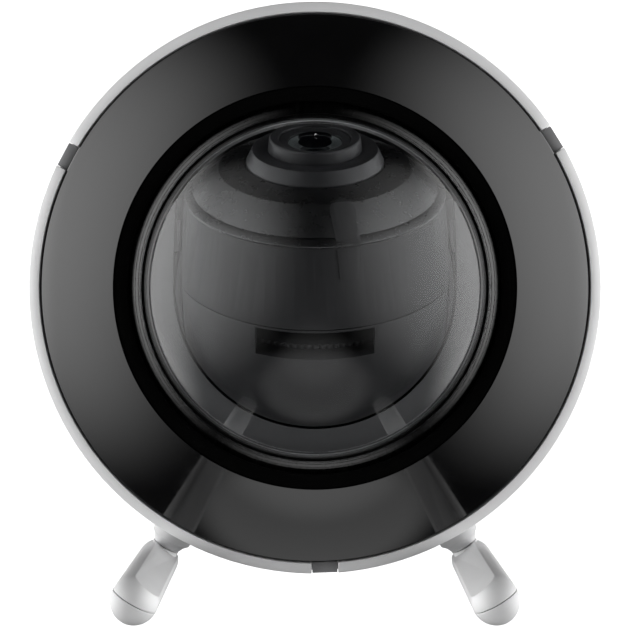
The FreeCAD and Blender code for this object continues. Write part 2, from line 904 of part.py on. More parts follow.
def make_front_rings():
    """The white trim ring, the grey ring that locks it, and the gloss black cone."""
    ring = turned(
        (
            (S.trim_inner_radius, trim_bottom),
            (S.trim_radius, trim_bottom),
            (S.trim_radius, S.trim_front - S.trim_fall - S.trim_bevel),
            (S.trim_radius - S.trim_bevel, S.trim_front - S.trim_fall),
            (S.trim_inner_radius, S.trim_front),
        )
    )
    notches = on_circle(
        NOTCHES,
        S.trim_radius,
        S.notch_angle.value,
        lambda circle: block(
            S.trim_wall * 3,
            S.notch_width,
            S.notch_depth * 2,
            x=circle,
            z=S.trim_front - S.notch_depth,
        ),
    )
    node("trim_ring", cut(ring, *notches))
    hoop = turned(tube_points(S.lock_inner_radius, S.fascia_radius, rim_top, lock_top))
    tab_outer = S.trim_radius - S.lock_tab_inset
    steps = (
        (S.fascia_radius - S.fascia_edge, lock_top),
        (S.trim_inner_radius, S.trim_front - S.lock_tab_drop),
    )
    tabs = []
    for inner, high in steps:
        tabs += on_circle(
            NOTCHES,
            (inner + tab_outer) / 2,
            S.notch_angle.value,
            lambda circle: block(
                tab_outer - inner,
                S.notch_width - S.lock_tab_gap * 2,
                high - rim_top,
                x=circle,
                z=rim_top,
            ),
        )
    node("lock_ring", fuse(hoop, *tabs))
    skirt_under = (
        S.trim_front
        + S.fascia_slope * (S.fascia_skirt - S.fascia_edge)
        - S.fascia_thick
    )
    collar_under = (
        fascia_crest
        - S.fascia_slope * (S.collar_outer_radius - S.fascia_hole_radius)
        - S.fascia_thick
    )
    lip_top = flange_top + S.fascia_lip_thick
    cone = turned(
        (
            (S.fascia_radius, lock_top),
            (S.fascia_radius, S.trim_front - S.fascia_edge),
            (S.fascia_radius - S.fascia_edge, S.trim_front),
            (S.fascia_hole_radius, fascia_crest),
            (S.fascia_hole_radius, lip_top),
            (S.fascia_lip_radius, lip_top),
            (S.fascia_lip_radius, flange_top),
            (S.collar_inner_radius, flange_top),
            (S.collar_inner_radius, retainer_step),
            (S.collar_outer_radius, retainer_step),
            (S.collar_outer_radius, collar_under),
            (S.skirt_inner_radius, skirt_under),
            (S.skirt_inner_radius, lock_top),
        )
    )
    boss_top = (
        fascia_crest
        - S.fascia_slope * (S.retainer_radius - S.fascia_hole_radius)
        - S.boss_cover
    )
    bosses = on_circle(
        RETAINER_SCREWS,
        S.retainer_circle,
        0,
        lambda circle: rod(
            S.boss_radius, boss_top - retainer_step, x=circle, z=retainer_step
        ),
    )
    hole_depth = S.retainer_screw_length - S.retainer_flange + S.screw_clearance
    holes = on_circle(
        RETAINER_SCREWS,
        S.retainer_circle,
        0,
        lambda circle: rod(
            S.retainer_screw_radius + S.screw_clearance,
            hole_depth,
            x=circle,
            z=retainer_step,
        ),
    )
    node("fascia_ring", cut(fuse(cone, *bosses), *holes))


def make_dome_group():
    """The clear dome, the black seal on its flange, and the ring and screws that hold it from behind."""
    inner = S.dome_inner_radius
    outside = fuse(
        ball(S.dome_radius, low=0, z=dome_centre),
        rod(S.dome_radius, dome_centre - flange_bottom, z=flange_bottom),
        rod(S.dome_flange_radius, S.dome_flange_thick, z=flange_bottom),
        rod(S.dome_step_radius, S.dome_flange_thick + S.dome_step, z=flange_bottom),
    )
    inside = fuse(
        ball(inner, low=0, z=dome_centre),
        rod(inner, dome_centre - flange_bottom, z=flange_bottom),
    )
    node("dome_bubble", cut(outside, inside))
    lip_top = flange_top + S.fascia_lip_thick
    lip_radius = S.fascia_lip_radius - S.seal_gap
    rim_radius = S.fascia_hole_radius - S.seal_gap
    node(
        "dome_seal",
        turned(
            (
                (S.seal_inner_radius, flange_top),
                (lip_radius, flange_top),
                (lip_radius, lip_top),
                (rim_radius, lip_top),
                (rim_radius, lip_top + S.seal_thick),
                (S.seal_inner_radius, lip_top + S.seal_thick),
            )
        ),
    )
    retainer = turned(
        (
            (S.retainer_inner_radius, retainer_bottom),
            (S.retainer_radius, retainer_bottom),
            (S.retainer_radius, retainer_step),
            (S.collar_inner_radius - S.ring_clearance, retainer_step),
            (S.collar_inner_radius - S.ring_clearance, flange_bottom),
            (S.retainer_inner_radius, flange_bottom),
        )
    )
    holes = on_circle(
        RETAINER_SCREWS,
        S.retainer_circle,
        0,
        lambda circle: rod(
            S.retainer_screw_radius + S.screw_clearance,
            S.retainer_flange,
            x=circle,
            z=retainer_bottom,
        ),
    )
    node("dome_retainer", cut(retainer, *holes))
    screws = on_circle(
        RETAINER_SCREWS,
        S.retainer_circle,
        0,
        lambda circle: screw(
            S.retainer_screw_radius,
            S.retainer_screw_length,
            S.retainer_head_radius,
            S.retainer_head_thick,
            circle,
            retainer_bottom,
            head_above=False,
        ),
    )
    node("retainer_screws", group(screws))


def make_lamp_ring():
    """The board behind the cone with its infrared lamps."""
    board_face = lock_top + S.lamp_board_thick
    node(
        "infrared_board",
        turned(tube_points(S.lamp_board_inner, S.lamp_board_radius, lock_top, board_face)),
    )
    lamps = on_circle(
        LAMPS,
        S.lamp_circle,
        S.lamp_angle.value,
        lambda circle: rod(S.lamp_radius, S.lamp_length, x=circle, z=board_face),
    )
    node("infrared_lamps", group(lamps))


def make_pan_group():
    """The liner cup, the fixed base with its screws, and the yoke that turns in it."""
    liner_top = flange_bottom - S.liner_gap
    liner_floor_top = pan_base_top + S.liner_floor
    node(
        "inner_liner",
        turned(
            (
                (S.liner_hole_radius, pan_base_top),
                (S.liner_outer_radius, pan_base_top),
                (S.liner_outer_radius, liner_top),
                (S.liner_inner_radius, liner_top),
                (S.liner_inner_radius, liner_floor_top),
                (S.liner_hole_radius, liner_floor_top),
            )
        ),
    )
    base = turned(
        tube_points(bore_radius, S.pan_base_radius, S.pan_base_height, pan_base_top)
    )
    holes = on_circle(
        FIXINGS,
        S.post_circle,
        0,
        lambda circle: rod(
            S.post_screw_radius + S.screw_clearance,
            S.pan_base_thick,
            x=circle,
            z=S.pan_base_height,
        ),
    )
    node("pan_base", cut(base, *holes))
    screws = on_circle(
        FIXINGS,
        S.post_circle,
        0,
        lambda circle: screw(
            S.post_screw_radius,
            S.post_screw_length,
            S.post_head_radius,
            S.post_head_thick,
            circle,
            pan_base_top,
        ),
    )
    node("pan_base_screws", group(screws))
    clip_top = S.pan_base_height - S.pan_clip_gap
    clip_bottom = clip_top - S.pan_clip_thick
    hub_bottom = clip_bottom - S.hub_foot
    groove_radius = S.hub_radius - S.pan_groove_depth
    hub = turned(
        (
            (S.hub_bore_radius, hub_bottom),
            (S.hub_radius, hub_bottom),
            (S.hub_radius, clip_bottom),
            (groove_radius, clip_bottom),
            (groove_radius, clip_top),
            (S.hub_radius, clip_top),
            (S.hub_radius, yoke_bottom),
            (S.yoke_disc_radius, yoke_bottom),
            (S.yoke_disc_radius, yoke_top),
            (S.hub_bore_radius, yoke_top),
        )
    )
    pin_hole = S.pivot_radius + S.running_clearance
    pins_through = side_rod(pin_hole, -S.trim_radius, S.trim_radius * 2, dome_centre)
    yoke = cut(fuse(hub, *make_cheeks()), pins_through, *make_lugs(S.head_radius))
    node("pan_yoke", yoke)
    make_shroud()
    node(
        "pan_clip",
        turned(
            tube_points(
                groove_radius + S.running_clearance, S.pan_clip_radius, clip_bottom, clip_top
            )
        ),
    )
    reach = S.head_radius - S.cheek_inner + S.pivot_reach
    node(
        "tilt_pivots",
        group(
            [
                side_rod(S.pivot_radius, S.head_radius - reach, reach, dome_centre),
                side_rod(S.pivot_radius, -S.head_radius, reach, dome_centre),
            ]
        ),
    )


def make_cheeks():
    """The two upright sides of the yoke. Seen along the dome axis they carry the U outline of the head."""
    outline = (
        (-S.cheek_stem, yoke_top - S.yoke_disc_thick / 2),
        (S.cheek_stem, yoke_top - S.yoke_disc_thick / 2),
        (S.cheek_front, dome_centre - S.cheek_shoulder),
        (S.cheek_front, dome_centre + S.cheek_top / 2),
        (S.cheek_stem, dome_centre + S.cheek_top),
        (-S.cheek_stem, dome_centre + S.cheek_top),
        (-S.cheek_back, dome_centre + S.cheek_top / 2),
        (-S.cheek_back, dome_centre - S.cheek_shoulder),
    )
    body = doc.addObject("PartDesign::Body", fresh_name("cheek_plate"))
    sketch = closed_sketch(body, "YZ_Plane", outline)
    plate = body.newObject("PartDesign::Pad", fresh_name("pad"))
    plate.Profile = sketch
    plate.SideType = "Symmetric"
    bind(plate, Length=S.head_radius * 2)
    body.Tip = plate
    prism_height = dome_centre - yoke_bottom
    envelope = fuse(
        rod(S.head_radius, prism_height, z=yoke_bottom),
        block(
            S.head_radius * 2,
            S.cheek_front,
            prism_height,
            y=S.cheek_front / 2,
            z=yoke_bottom,
        ),
        ball(S.head_radius, z=dome_centre),
        moved(
            rod(S.head_radius, S.cheek_front),
            Placement(Vector(0, 0, dome_centre.value), Rotation(Vector(1, 0, 0), -90)),
        ),
    )
    gap = block(
        S.cheek_inner * 2,
        S.head_radius * 4,
        S.trim_front * 2,
        z=yoke_bottom,
    )
    return [cut(common(body, envelope), gap)]


def make_lugs(length):
    """A block on each side that fills its pocket in the yoke, from the pocket's floor outwards."""
    return [
        block(
            length,
            S.lug_width,
            S.lug_drop + S.shroud_rise - S.shroud_drop - S.shroud_thick,
            x=side * (S.lug_inner + length / 2),
            y=S.lug_y,
            z=dome_centre - S.lug_drop,
        )
        for side in (as_size(1), as_size(-1))
    ]


def make_shroud():
    """A sloping ring with a slot for the camera head, open towards the lens."""
    edge_top = dome_centre - S.shroud_drop
    slot_top = edge_top + S.shroud_rise
    skirt_bottom = edge_top - S.shroud_skirt
    cone = turned(
        (
            (S.shroud_slot_radius, slot_top),
            (S.shroud_slot_radius, slot_top - S.shroud_thick),
            (S.shroud_radius - S.shroud_thick, edge_top - S.shroud_thick),
            (S.shroud_radius - S.shroud_thick, skirt_bottom),
            (S.shroud_radius, skirt_bottom),
            (S.shroud_radius, edge_top),
        )
    )
    height = S.shroud_skirt + S.shroud_rise
    slot = block(
        S.shroud_slot_radius * 2, S.head_radius, height, y=S.head_radius / 2, z=skirt_bottom
    )
    ends = block(
        S.dome_radius * 2,
        S.head_radius,
        height,
        y=S.shroud_horn + S.head_radius / 2,
        z=skirt_bottom,
    )
    lugs = common(
        group(make_lugs(S.lug_thick + S.lug_depth)),
        turned(
            (
                (S.lug_inner, slot_top - S.shroud_thick / 2),
                (S.shroud_slot_radius, slot_top - S.shroud_thick / 2),
                (S.shroud_radius - S.shroud_thick / 2, edge_top - S.shroud_thick / 2),
                (S.shroud_radius - S.shroud_thick / 2, skirt_bottom - S.lug_drop),
                (ZERO, skirt_bottom - S.lug_drop),
                (ZERO, slot_top - S.shroud_thick / 2),
            )
        ),
    )
    node("pan_shroud", fuse(cut(cone, slot, ends), lugs))


def head_place():
    """Turns a piece drawn about Z to the optical axis, which passes through the dome's centre."""
    return Placement(
        Vector(0, 0, dome_centre.value), Rotation(Vector(1, 0, 0), -S.head_tilt.value)
    )


def front_profile(rise=ZERO):
    """Corners of the front of the head, raised by rise, as (radius, distance along the optical axis)."""
    return (
        (S.middle_front_radius + rise, S.middle_end),
        (S.head_rim_radius + rise, S.head_rim_start),
        (S.head_rim_radius + rise, S.head_rim_end + rise / 2),
        (S.groove_radius + rise, S.groove_start + rise / 2),
        (S.cone_radius + rise / 2, S.cone_end + rise),
        (S.front_hole_radius + rise / 2, S.front_end + rise),
    )


def make_head_shells():
    """The three shells of the camera head and the long tab that crosses its rim."""
    solid = fuse(
        ball(S.head_radius, high=0),
        rod(S.head_radius, S.head_seam),
    )
    flats = block(S.head_flat * 2, S.head_radius * 3, S.head_radius * 3, z=-S.head_radius)
    hollow = fuse(ball(S.head_cavity, high=0), rod(S.head_cavity, S.head_seam))
    window = block(
        S.window_half_width * 2,
        S.head_radius,
        S.window_length,
        y=-S.head_radius,
        z=S.window_back,
    )
    pin_hole = side_rod(
        S.pivot_radius + S.running_clearance, -S.trim_radius, S.trim_radius * 2, ZERO
    )
    rear = cut(common(solid, flats), hollow, window, pin_hole)
    node("head_rear_shell", moved(rear, head_place()))

    web_bore = S.carrier_radius + S.running_clearance
    middle = turned(
        (
            (S.head_radius, S.seam_end),
            (S.middle_front_radius, S.middle_end),
            (S.middle_bore_radius, S.middle_end),
            (S.middle_bore_radius, S.web_end),
            (web_bore, S.web_end),
            (web_bore, S.web_start),
            (S.head_cavity, S.web_start),
            (S.head_cavity, S.seam_end),
        )
    )
    middle_flats = block(S.head_flat * 2, S.head_radius * 3, S.head_radius * 2)
    node("head_middle_shell", moved(common(middle, middle_flats), head_place()))

    outer = front_profile()
    front = turned(
        (
            *outer[:4],
            (S.groove_floor_radius, S.groove_start),
            (S.groove_floor_radius, S.groove_start + S.groove_width),
            *outer[4:],
            (S.front_hole_radius, S.front_end - S.front_wall),
            (S.cone_radius - S.front_wall / 2, S.cone_end - S.front_wall),
            (S.front_bore_radius, S.head_rim_end + S.tab_rise),
            (S.front_bore_radius, S.middle_end),
        )
    )
    node("head_front_shell", moved(front, head_place()))
    make_head_clip()


def make_head_clip():
    """A thin strap over the rim. Its outline runs along the dome axis, and its thickness follows the head."""
    outer = front_profile(S.tab_rise)
    raised = turned(
        (
            (ZERO, S.seam_end),
            (S.head_radius + S.tab_rise, S.seam_end),
            *outer,
            (ZERO, S.front_end + S.tab_rise),
        )
    )
    head = turned(
        (
            (ZERO, ZERO),
            (S.head_radius, ZERO),
            (S.head_radius, S.seam_end),
            *front_profile(),
            (ZERO, S.front_end),
        )
    )
    skin = moved(cut(raised, head), head_place())
    body = doc.addObject("PartDesign::Body", fresh_name("tab_plate"))
    sketch = closed_sketch(
        body,
        "XY_Plane",
        (
            (S.tab_foot_left, S.tab_foot_y),
            (S.tab_foot_left + S.tab_foot_width, S.tab_foot_y),
            (S.tab_bend_left + S.tab_bend_width, S.tab_bend_y),
            (S.tab_tip_x + S.tab_tip_radius, S.tab_tip_y),
            (S.tab_tip_x - S.tab_tip_radius, S.tab_tip_y),
            (S.tab_bend_left, S.tab_bend_y),
        ),
    )
    plate = body.newObject("PartDesign::Pad", fresh_name("pad"))
    plate.Profile = sketch
    bind(plate, Length=S.head_radius)
    body.Tip = plate
    tab_bottom = dome_centre + S.tab_plane_rise
    put(body, z=tab_bottom)
    tip = rod(S.tab_tip_radius, S.head_radius, x=S.tab_tip_x, y=S.tab_tip_y, z=tab_bottom)
    node("head_clip", common(skin, fuse(body, tip)))


def make_lens_group():
    """Everything that turns about the optical axis: the serrated ring, the sensor and the lens."""
    teeth = doc.addObject("Part::Feature", "teeth_blank")
    corners = []
    for index in range(ADJUST_TEETH * 4):
        angle = 2 * math.pi * index / (ADJUST_TEETH * 4)
        low = index % 4 >= 2
        radius = S.adjust_radius.value - (S.adjust_tooth.value if low else 0)
        corners.append(Vector(radius * math.cos(angle), radius * math.sin(angle), 0))
    corners.append(corners[0])
    long = S.adjust_back.value + S.adjust_front.value
    teeth.Shape = Part.Face(Part.makePolygon(corners)).extrude(Vector(0, 0, long))
    teeth.Placement = Placement(Vector(0, 0, -S.adjust_back.value), Rotation())
    bore = rod(S.adjust_bore_radius, S.adjust_back + S.adjust_front, z=-S.adjust_back)
    node("adjust_ring", moved(cut(teeth, bore), head_place()))

    pieces = {
        "lens_carrier": tube_points(
            S.carrier_bore_radius, S.carrier_radius, S.adjust_front, S.carrier_end
        ),
        "roll_clip": tube_points(
            S.carrier_radius + S.running_clearance,
            S.roll_clip_radius,
            S.roll_clip_start,
            S.roll_clip_start + S.roll_clip_thick,
        ),
        "lens_snout": (
            (S.snout_bore_radius, S.carrier_end),
            (S.snout_radius, S.carrier_end),
            (S.snout_radius, S.snout_side_end),
            (S.snout_face_radius, S.snout_face),
            (S.lens_seat_radius, S.snout_face),
            (S.lens_seat_radius, S.snout_seat),
            (S.barrel_front_radius + S.ring_clearance, S.snout_seat),
            (S.barrel_front_radius + S.ring_clearance, S.snout_side_end),
            (S.snout_bore_radius, S.snout_side_end),
        ),
        "lens_barrel": (
            (S.barrel_bore_radius, S.barrel_start),
            (S.barrel_radius, S.barrel_start),
            (S.barrel_radius, S.barrel_flange_start),
            (S.barrel_flange_radius, S.barrel_flange_start),
            (S.barrel_flange_radius, S.barrel_flange_start + S.barrel_flange_thick),
            (S.barrel_front_radius, S.barrel_flange_start + S.barrel_flange_thick),
            (S.barrel_front_radius, S.barrel_end),
            (S.barrel_bore_radius, S.barrel_end),
        ),
        "lens_ring": (
            (S.barrel_front_radius + S.ring_clearance, S.snout_seat),
            (S.lens_ring_base_radius, S.snout_seat),
            (S.lens_ring_base_radius, S.snout_face),
            (S.lens_ring_radius, S.lens_ring_front - S.lens_ring_bevel),
            (S.lens_ring_radius - S.lens_ring_bevel, S.lens_ring_front),
            (S.barrel_front_radius + S.ring_clearance, S.lens_ring_front - S.lens_ring_bevel),
        ),
        "lens_cell": (
            (S.iris_radius, S.barrel_end),
            (S.barrel_front_radius, S.barrel_end),
            (S.barrel_front_radius, S.lens_cell_front),
            (S.iris_radius, S.lens_cell_front - S.lens_ring_bevel),
        ),
        "iris_ring": (
            (S.pupil_radius, S.barrel_end),
            (S.glass_radius, S.barrel_end),
            (S.glass_radius, S.iris_front),
            (S.pupil_radius, S.iris_front - S.iris_drop),
        ),
        "rear_glass": (
            (ZERO, S.barrel_end - S.rear_glass_thick),
            (S.barrel_bore_radius - S.seal_slack, S.barrel_end - S.rear_glass_thick),
            (S.barrel_bore_radius - S.seal_slack, S.barrel_end),
            (ZERO, S.barrel_end),
        ),
    }
    for label, points in pieces.items():
        node(label, moved(turned(points), head_place()))
    curve = S.glass_curve.value
    sag = curve - math.sqrt(curve**2 - S.glass_radius.value**2)
    glass = common(
        rod(S.glass_radius, S.glass_curve, z=S.glass_seat),
        ball(S.glass_curve, z=S.glass_seat - S.glass_curve + S.seam_gap + sag),
    )
    node("front_glass", moved(glass, head_place()))
    board = block(
        S.sensor_board_side,
        S.sensor_board_side,
        S.sensor_board_thick,
        z=-S.adjust_back - S.sensor_board_thick,
    )
    node("sensor_board", moved(group([board]), head_place()))
    chip = block(S.sensor_width, S.sensor_height, S.sensor_thick, z=-S.adjust_back)
    node("sensor_chip", moved(group([chip]), head_place()))


def antenna_angles():
    """Directions of the two antennas, each side of 6 o'clock."""
    down = -90
    return {
        "left": down - S.antenna_angle.value,
        "right": down + S.antenna_angle.value,
    }


def antenna_blank(half_width, facet, foot, tip, twist):
    """The outer or inner form of an antenna: a rod with rounded ends and one flat towards the dome."""
    body = fuse(
        rod(
            half_width,
            S.antenna_below + S.antenna_above,
            x=S.antenna_radius,
            z=S.pivot_height - S.antenna_below,
        ),
        egg(half_width, foot, -90, 0, S.antenna_radius, S.pivot_height - S.antenna_below),
        egg(half_width, tip, 0, 90, S.antenna_radius, S.pivot_height + S.antenna_above),
    )
    tall = S.antenna_above * 3
    slab = block(
        half_width * 2,
        half_width * 4,
        tall,
        x=S.antenna_radius + half_width - facet,
        z=-S.antenna_above,
    )
    axis = Vector(S.antenna_radius.value, 0, 0)
    return common(body, moved(group([slab]), turn(Vector(0, 0, 1), twist, axis)))


def make_antenna(side, angle):
    """One antenna: two half shells on a hollow stem that turns in a neck on the housing."""
    polar = turn(Vector(0, 0, 1), angle)
    lean = turn(
        Vector(0, 1, 0),
        -S.antenna_lean_angle.value,
        Vector(S.antenna_radius.value, 0, S.pivot_height.value),
    )
    twist = S.antenna_twist_angle.value * (1 if side == "right" else -1)
    shell = cut(
        antenna_blank(
            S.antenna_half_width, S.antenna_facet, S.antenna_foot, S.antenna_tip, twist
        ),
        antenna_blank(
            S.antenna_half_width - S.antenna_wall,
            S.antenna_facet - S.antenna_wall,
            S.antenna_foot - S.antenna_wall,
            S.antenna_tip - S.antenna_wall,
            twist,
        ),
    )
    half = S.antenna_half_width * 2
    tall = S.antenna_above * 3
    inner_space = block(
        half, half * 2, tall, x=S.antenna_radius - half / 2 - S.antenna_seam / 2, z=-S.antenna_above
    )
    outer_space = block(
        half, half * 2, tall, x=S.antenna_radius + half / 2 + S.antenna_seam / 2, z=-S.antenna_above
    )
    inner_half = moved(common(shell, inner_space), lean)
    collar = side_rod(
        S.neck_radius, S.antenna_collar_start, S.antenna_collar_length, S.pivot_height
    )
    stem_hole = side_rod(
        S.stem_radius + S.running_clearance,
        S.neck_start,
        S.stem_end - S.neck_start,
        S.pivot_height,
    )
    inner_shell = cut(fuse(inner_half, collar), stem_hole)
    node(f"{side}_antenna_inner_shell", moved(inner_shell, polar))
    outer_shell = group([moved(common(shell, outer_space), lean)])
    node(f"{side}_antenna_outer_shell", moved(outer_shell, polar))

    strip = block(
        S.element_thick,
        S.element_width,
        S.element_length,
        x=S.stem_end + S.element_gap + S.element_thick / 2,
        z=S.pivot_height - S.element_width / 2,
    )
    element = group([moved(group([strip]), lean)])
    node(f"{side}_antenna_element", moved(element, polar))

    stem = cut(
        side_rod(S.stem_radius, S.stem_start, S.stem_end - S.stem_start, S.pivot_height),
        side_rod(S.stem_bore_radius, S.stem_start, S.stem_end - S.stem_start, S.pivot_height),
    )
    node(f"{side}_antenna_stem", moved(stem, polar))

    clip = cut(
        side_rod(S.stem_clip_radius, S.stem_clip_start, S.stem_clip_thick, S.pivot_height),
        side_rod(
            S.stem_radius + S.running_clearance,
            S.stem_clip_start,
            S.stem_clip_thick,
            S.pivot_height,
        ),
    )
    node(f"{side}_antenna_clip", moved(clip, polar))

    flare = fuse(
        side_rod(S.neck_root_radius, S.neck_root, S.neck_flare - S.neck_root, S.pivot_height),
        side_cone(S.neck_root_radius, S.neck_waist_radius, S.neck_flare, S.neck_waist),
        side_cone(S.neck_waist_radius, S.neck_radius, S.neck_waist, S.neck_end),
    )
    shank = side_rod(
        S.neck_shank_radius, S.neck_start, S.neck_flare - S.neck_start, S.pivot_height
    )
    seated = cut(flare, rod(S.shoulder_radius, S.trim_front))
    bore = side_rod(
        S.stem_radius + S.running_clearance,
        S.neck_start,
        S.neck_end - S.neck_start,
        S.pivot_height,
    )
    neck = cut(fuse(seated, shank), bore)
    node(f"{side}_antenna_neck", moved(neck, polar))


def side_cone(start_radius, end_radius, start, end):
    """A cone along X at the height of the antenna's pivot."""
    made = doc.addObject("Part::Cone", fresh_name("side_cone"))
    bind(made, Radius1=start_radius, Radius2=end_radius, Height=end - start)
    made.Placement = Placement(Vector(), Rotation(Vector(0, 1, 0), 90))
    return put(made, start, ZERO, S.pivot_height)


def make_board_group():
    """The main board on its standoffs, with the parts that it carries."""
    board = turned(tube_points(S.board_hole_radius, S.board_radius, S.board_height, board_top))
    post_holes = on_circle(
        FIXINGS,
        S.post_circle,
        0,
        lambda circle: rod(
            S.post_radius + S.board_post_clearance,
            S.board_thick,
            x=circle,
            z=S.board_height,
        ),
    )
    screw_holes = on_circle(
        FIXINGS,
        S.standoff_circle,
        S.fixing_angle.value,
        lambda circle: rod(
            S.board_screw_radius + S.screw_clearance,
            S.board_thick,
            x=circle,
            z=S.board_height,
        ),
    )
    node("main_board", cut(board, *post_holes, *screw_holes))
    screws = on_circle(
        FIXINGS,
        S.standoff_circle,
        S.fixing_angle.value,
        lambda circle: screw(
            S.board_screw_radius,
            S.board_screw_length,
            S.board_head_radius,
            S.board_head_thick,
            circle,
            board_top,
        ),
    )
    node("board_screws", group(screws))
    node(
        "processor",
        block(
            S.processor_side, S.processor_side, S.processor_thick, y=S.processor_y, z=board_top
        ),
    )
    sink_bottom = board_top + S.processor_thick
    pitch = (S.heatsink_side - S.heatsink_fin) / (HEATSINK_FINS - 1)
    fins = [
        block(
            S.heatsink_fin,
            S.heatsink_side,
            S.heatsink_height,
            x=pitch * (index - (HEATSINK_FINS - 1) / 2),
            y=S.processor_y,
            z=sink_bottom,
        )
        for index in range(HEATSINK_FINS)
    ]
    base = block(
        S.heatsink_side, S.heatsink_side, S.heatsink_base, y=S.processor_y, z=sink_bottom
    )
    node("heatsink", fuse(base, *fins))
    capacitors = [
        moved(
            group([rod(S.capacitor_radius, S.capacitor_height, x=S.capacitor_circle, z=board_top)]),
            turn(
                Vector(0, 0, 1),
                S.capacitor_first_angle.value + index * S.capacitor_pitch_angle.value,
            ),
        )
        for index in range(CAPACITORS)
    ]
    node("board_capacitors", group(capacitors))
    header = block(
        S.header_length, S.header_width, S.header_height, x=S.header_x, y=S.header_y, z=board_top
    )
    header_mouth = block(
        S.header_length - S.header_wall * 2,
        S.header_width - S.header_wall * 2,
        S.header_height,
        x=S.header_x,
        y=S.header_y,
        z=board_top + S.header_wall,
    )
    node("cable_header", cut(header, header_mouth))
    holder = block(
        S.slot_length, S.slot_width, S.slot_height, x=S.slot_x, y=S.slot_y, z=board_top
    )
    slot_mouth = block(
        S.slot_length,
        S.slot_width - S.header_wall * 2,
        S.slot_mouth,
        x=S.slot_x + S.header_wall,
        y=S.slot_y,
        z=board_top + (S.slot_height - S.slot_mouth) / 2,
    )
    node("card_slot", cut(holder, slot_mouth))
    switch = block(
        S.switch_side, S.switch_side, S.switch_height, x=S.switch_x, y=S.switch_y, z=board_top
    )
    switch_bore = rod(
        S.button_radius + S.running_clearance,
        S.switch_height,
        x=S.switch_x,
        y=S.switch_y,
        z=board_top + S.switch_floor,
    )
    node("reset_switch", cut(switch, switch_bore))
    node(
        "reset_button",
        rod(
            S.button_radius,
            S.button_length,
            x=S.switch_x,
            y=S.switch_y,
            z=board_top + S.switch_floor + S.button_lift,
        ),
    )


def write_parts():
    """Checks every object and every solid, then writes one file for each sub-part."""
    doc.recompute()
    failed = [
        thing.Label
        for thing in doc.Objects
        if "Invalid" in thing.State or "Error" in thing.State
    ]
    for thing in nodes:
        shape = thing.Shape
        if shape.isNull() or not shape.isValid() or not shape.Solids:
            failed.append(thing.Label)
    if failed:
        sys.exit(f"these objects failed: {failed}")
    os.makedirs("parts", exist_ok=True)
    for thing in nodes:
        thing.Shape.exportStep(f"parts/{thing.Label}.step")
        print(thing.Label, len(thing.Shape.Solids), round(thing.Shape.Volume, 1))


make_plate_group()
make_housing()
make_front_rings()
make_dome_group()
make_lamp_ring()
make_pan_group()
make_head_shells()
make_lens_group()
for side, angle in antenna_angles().items():
    make_antenna(side, angle)
make_board_group()
write_parts()
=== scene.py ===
"""Looks of a ceiling dome camera with two stub antennas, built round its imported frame."""
import logging
import math
from dataclasses import dataclass
from enum import Enum
from typing import Callable

import bmesh
import bpy
from mathutils import Matrix, Vector


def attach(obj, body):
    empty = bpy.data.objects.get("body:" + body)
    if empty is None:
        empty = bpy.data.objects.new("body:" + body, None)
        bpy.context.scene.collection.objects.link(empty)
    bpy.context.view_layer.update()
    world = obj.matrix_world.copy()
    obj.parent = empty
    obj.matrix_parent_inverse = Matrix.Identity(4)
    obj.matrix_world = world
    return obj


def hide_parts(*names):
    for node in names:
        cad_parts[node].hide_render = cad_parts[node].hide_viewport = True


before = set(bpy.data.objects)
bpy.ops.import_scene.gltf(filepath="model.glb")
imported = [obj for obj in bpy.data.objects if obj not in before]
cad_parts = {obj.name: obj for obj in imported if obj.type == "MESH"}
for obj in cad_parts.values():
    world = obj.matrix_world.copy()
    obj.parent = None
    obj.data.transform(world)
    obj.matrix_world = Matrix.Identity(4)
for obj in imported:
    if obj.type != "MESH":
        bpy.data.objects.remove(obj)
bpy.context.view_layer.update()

LOG = logging.getLogger("dome_camera")
MM = 0.001
Point = tuple[float, float]
Colour = tuple[float, float, float]

# Places that several sub-assemblies share, in millimetres above the mounting face
DOME_CENTRE = 65.5
FLANGE_TOP = 65.0
LEDGE_TOP = 65.8

# The turn about X that takes the dome's axis to the optical axis at rest, in degrees
HEAD_TILT = -62.0


class Body(Enum):
    """The rigid groups of the frame that carry new pieces, apart from the antennas."""

    HOUSING = "housing"
    PAN = "pan"
    HEAD = "head"
    LENS = "lens"


class Side(Enum):
    """The two antennas, by their word in the names of nodes."""

    LEFT = "left"
    RIGHT = "right"


# Finishes


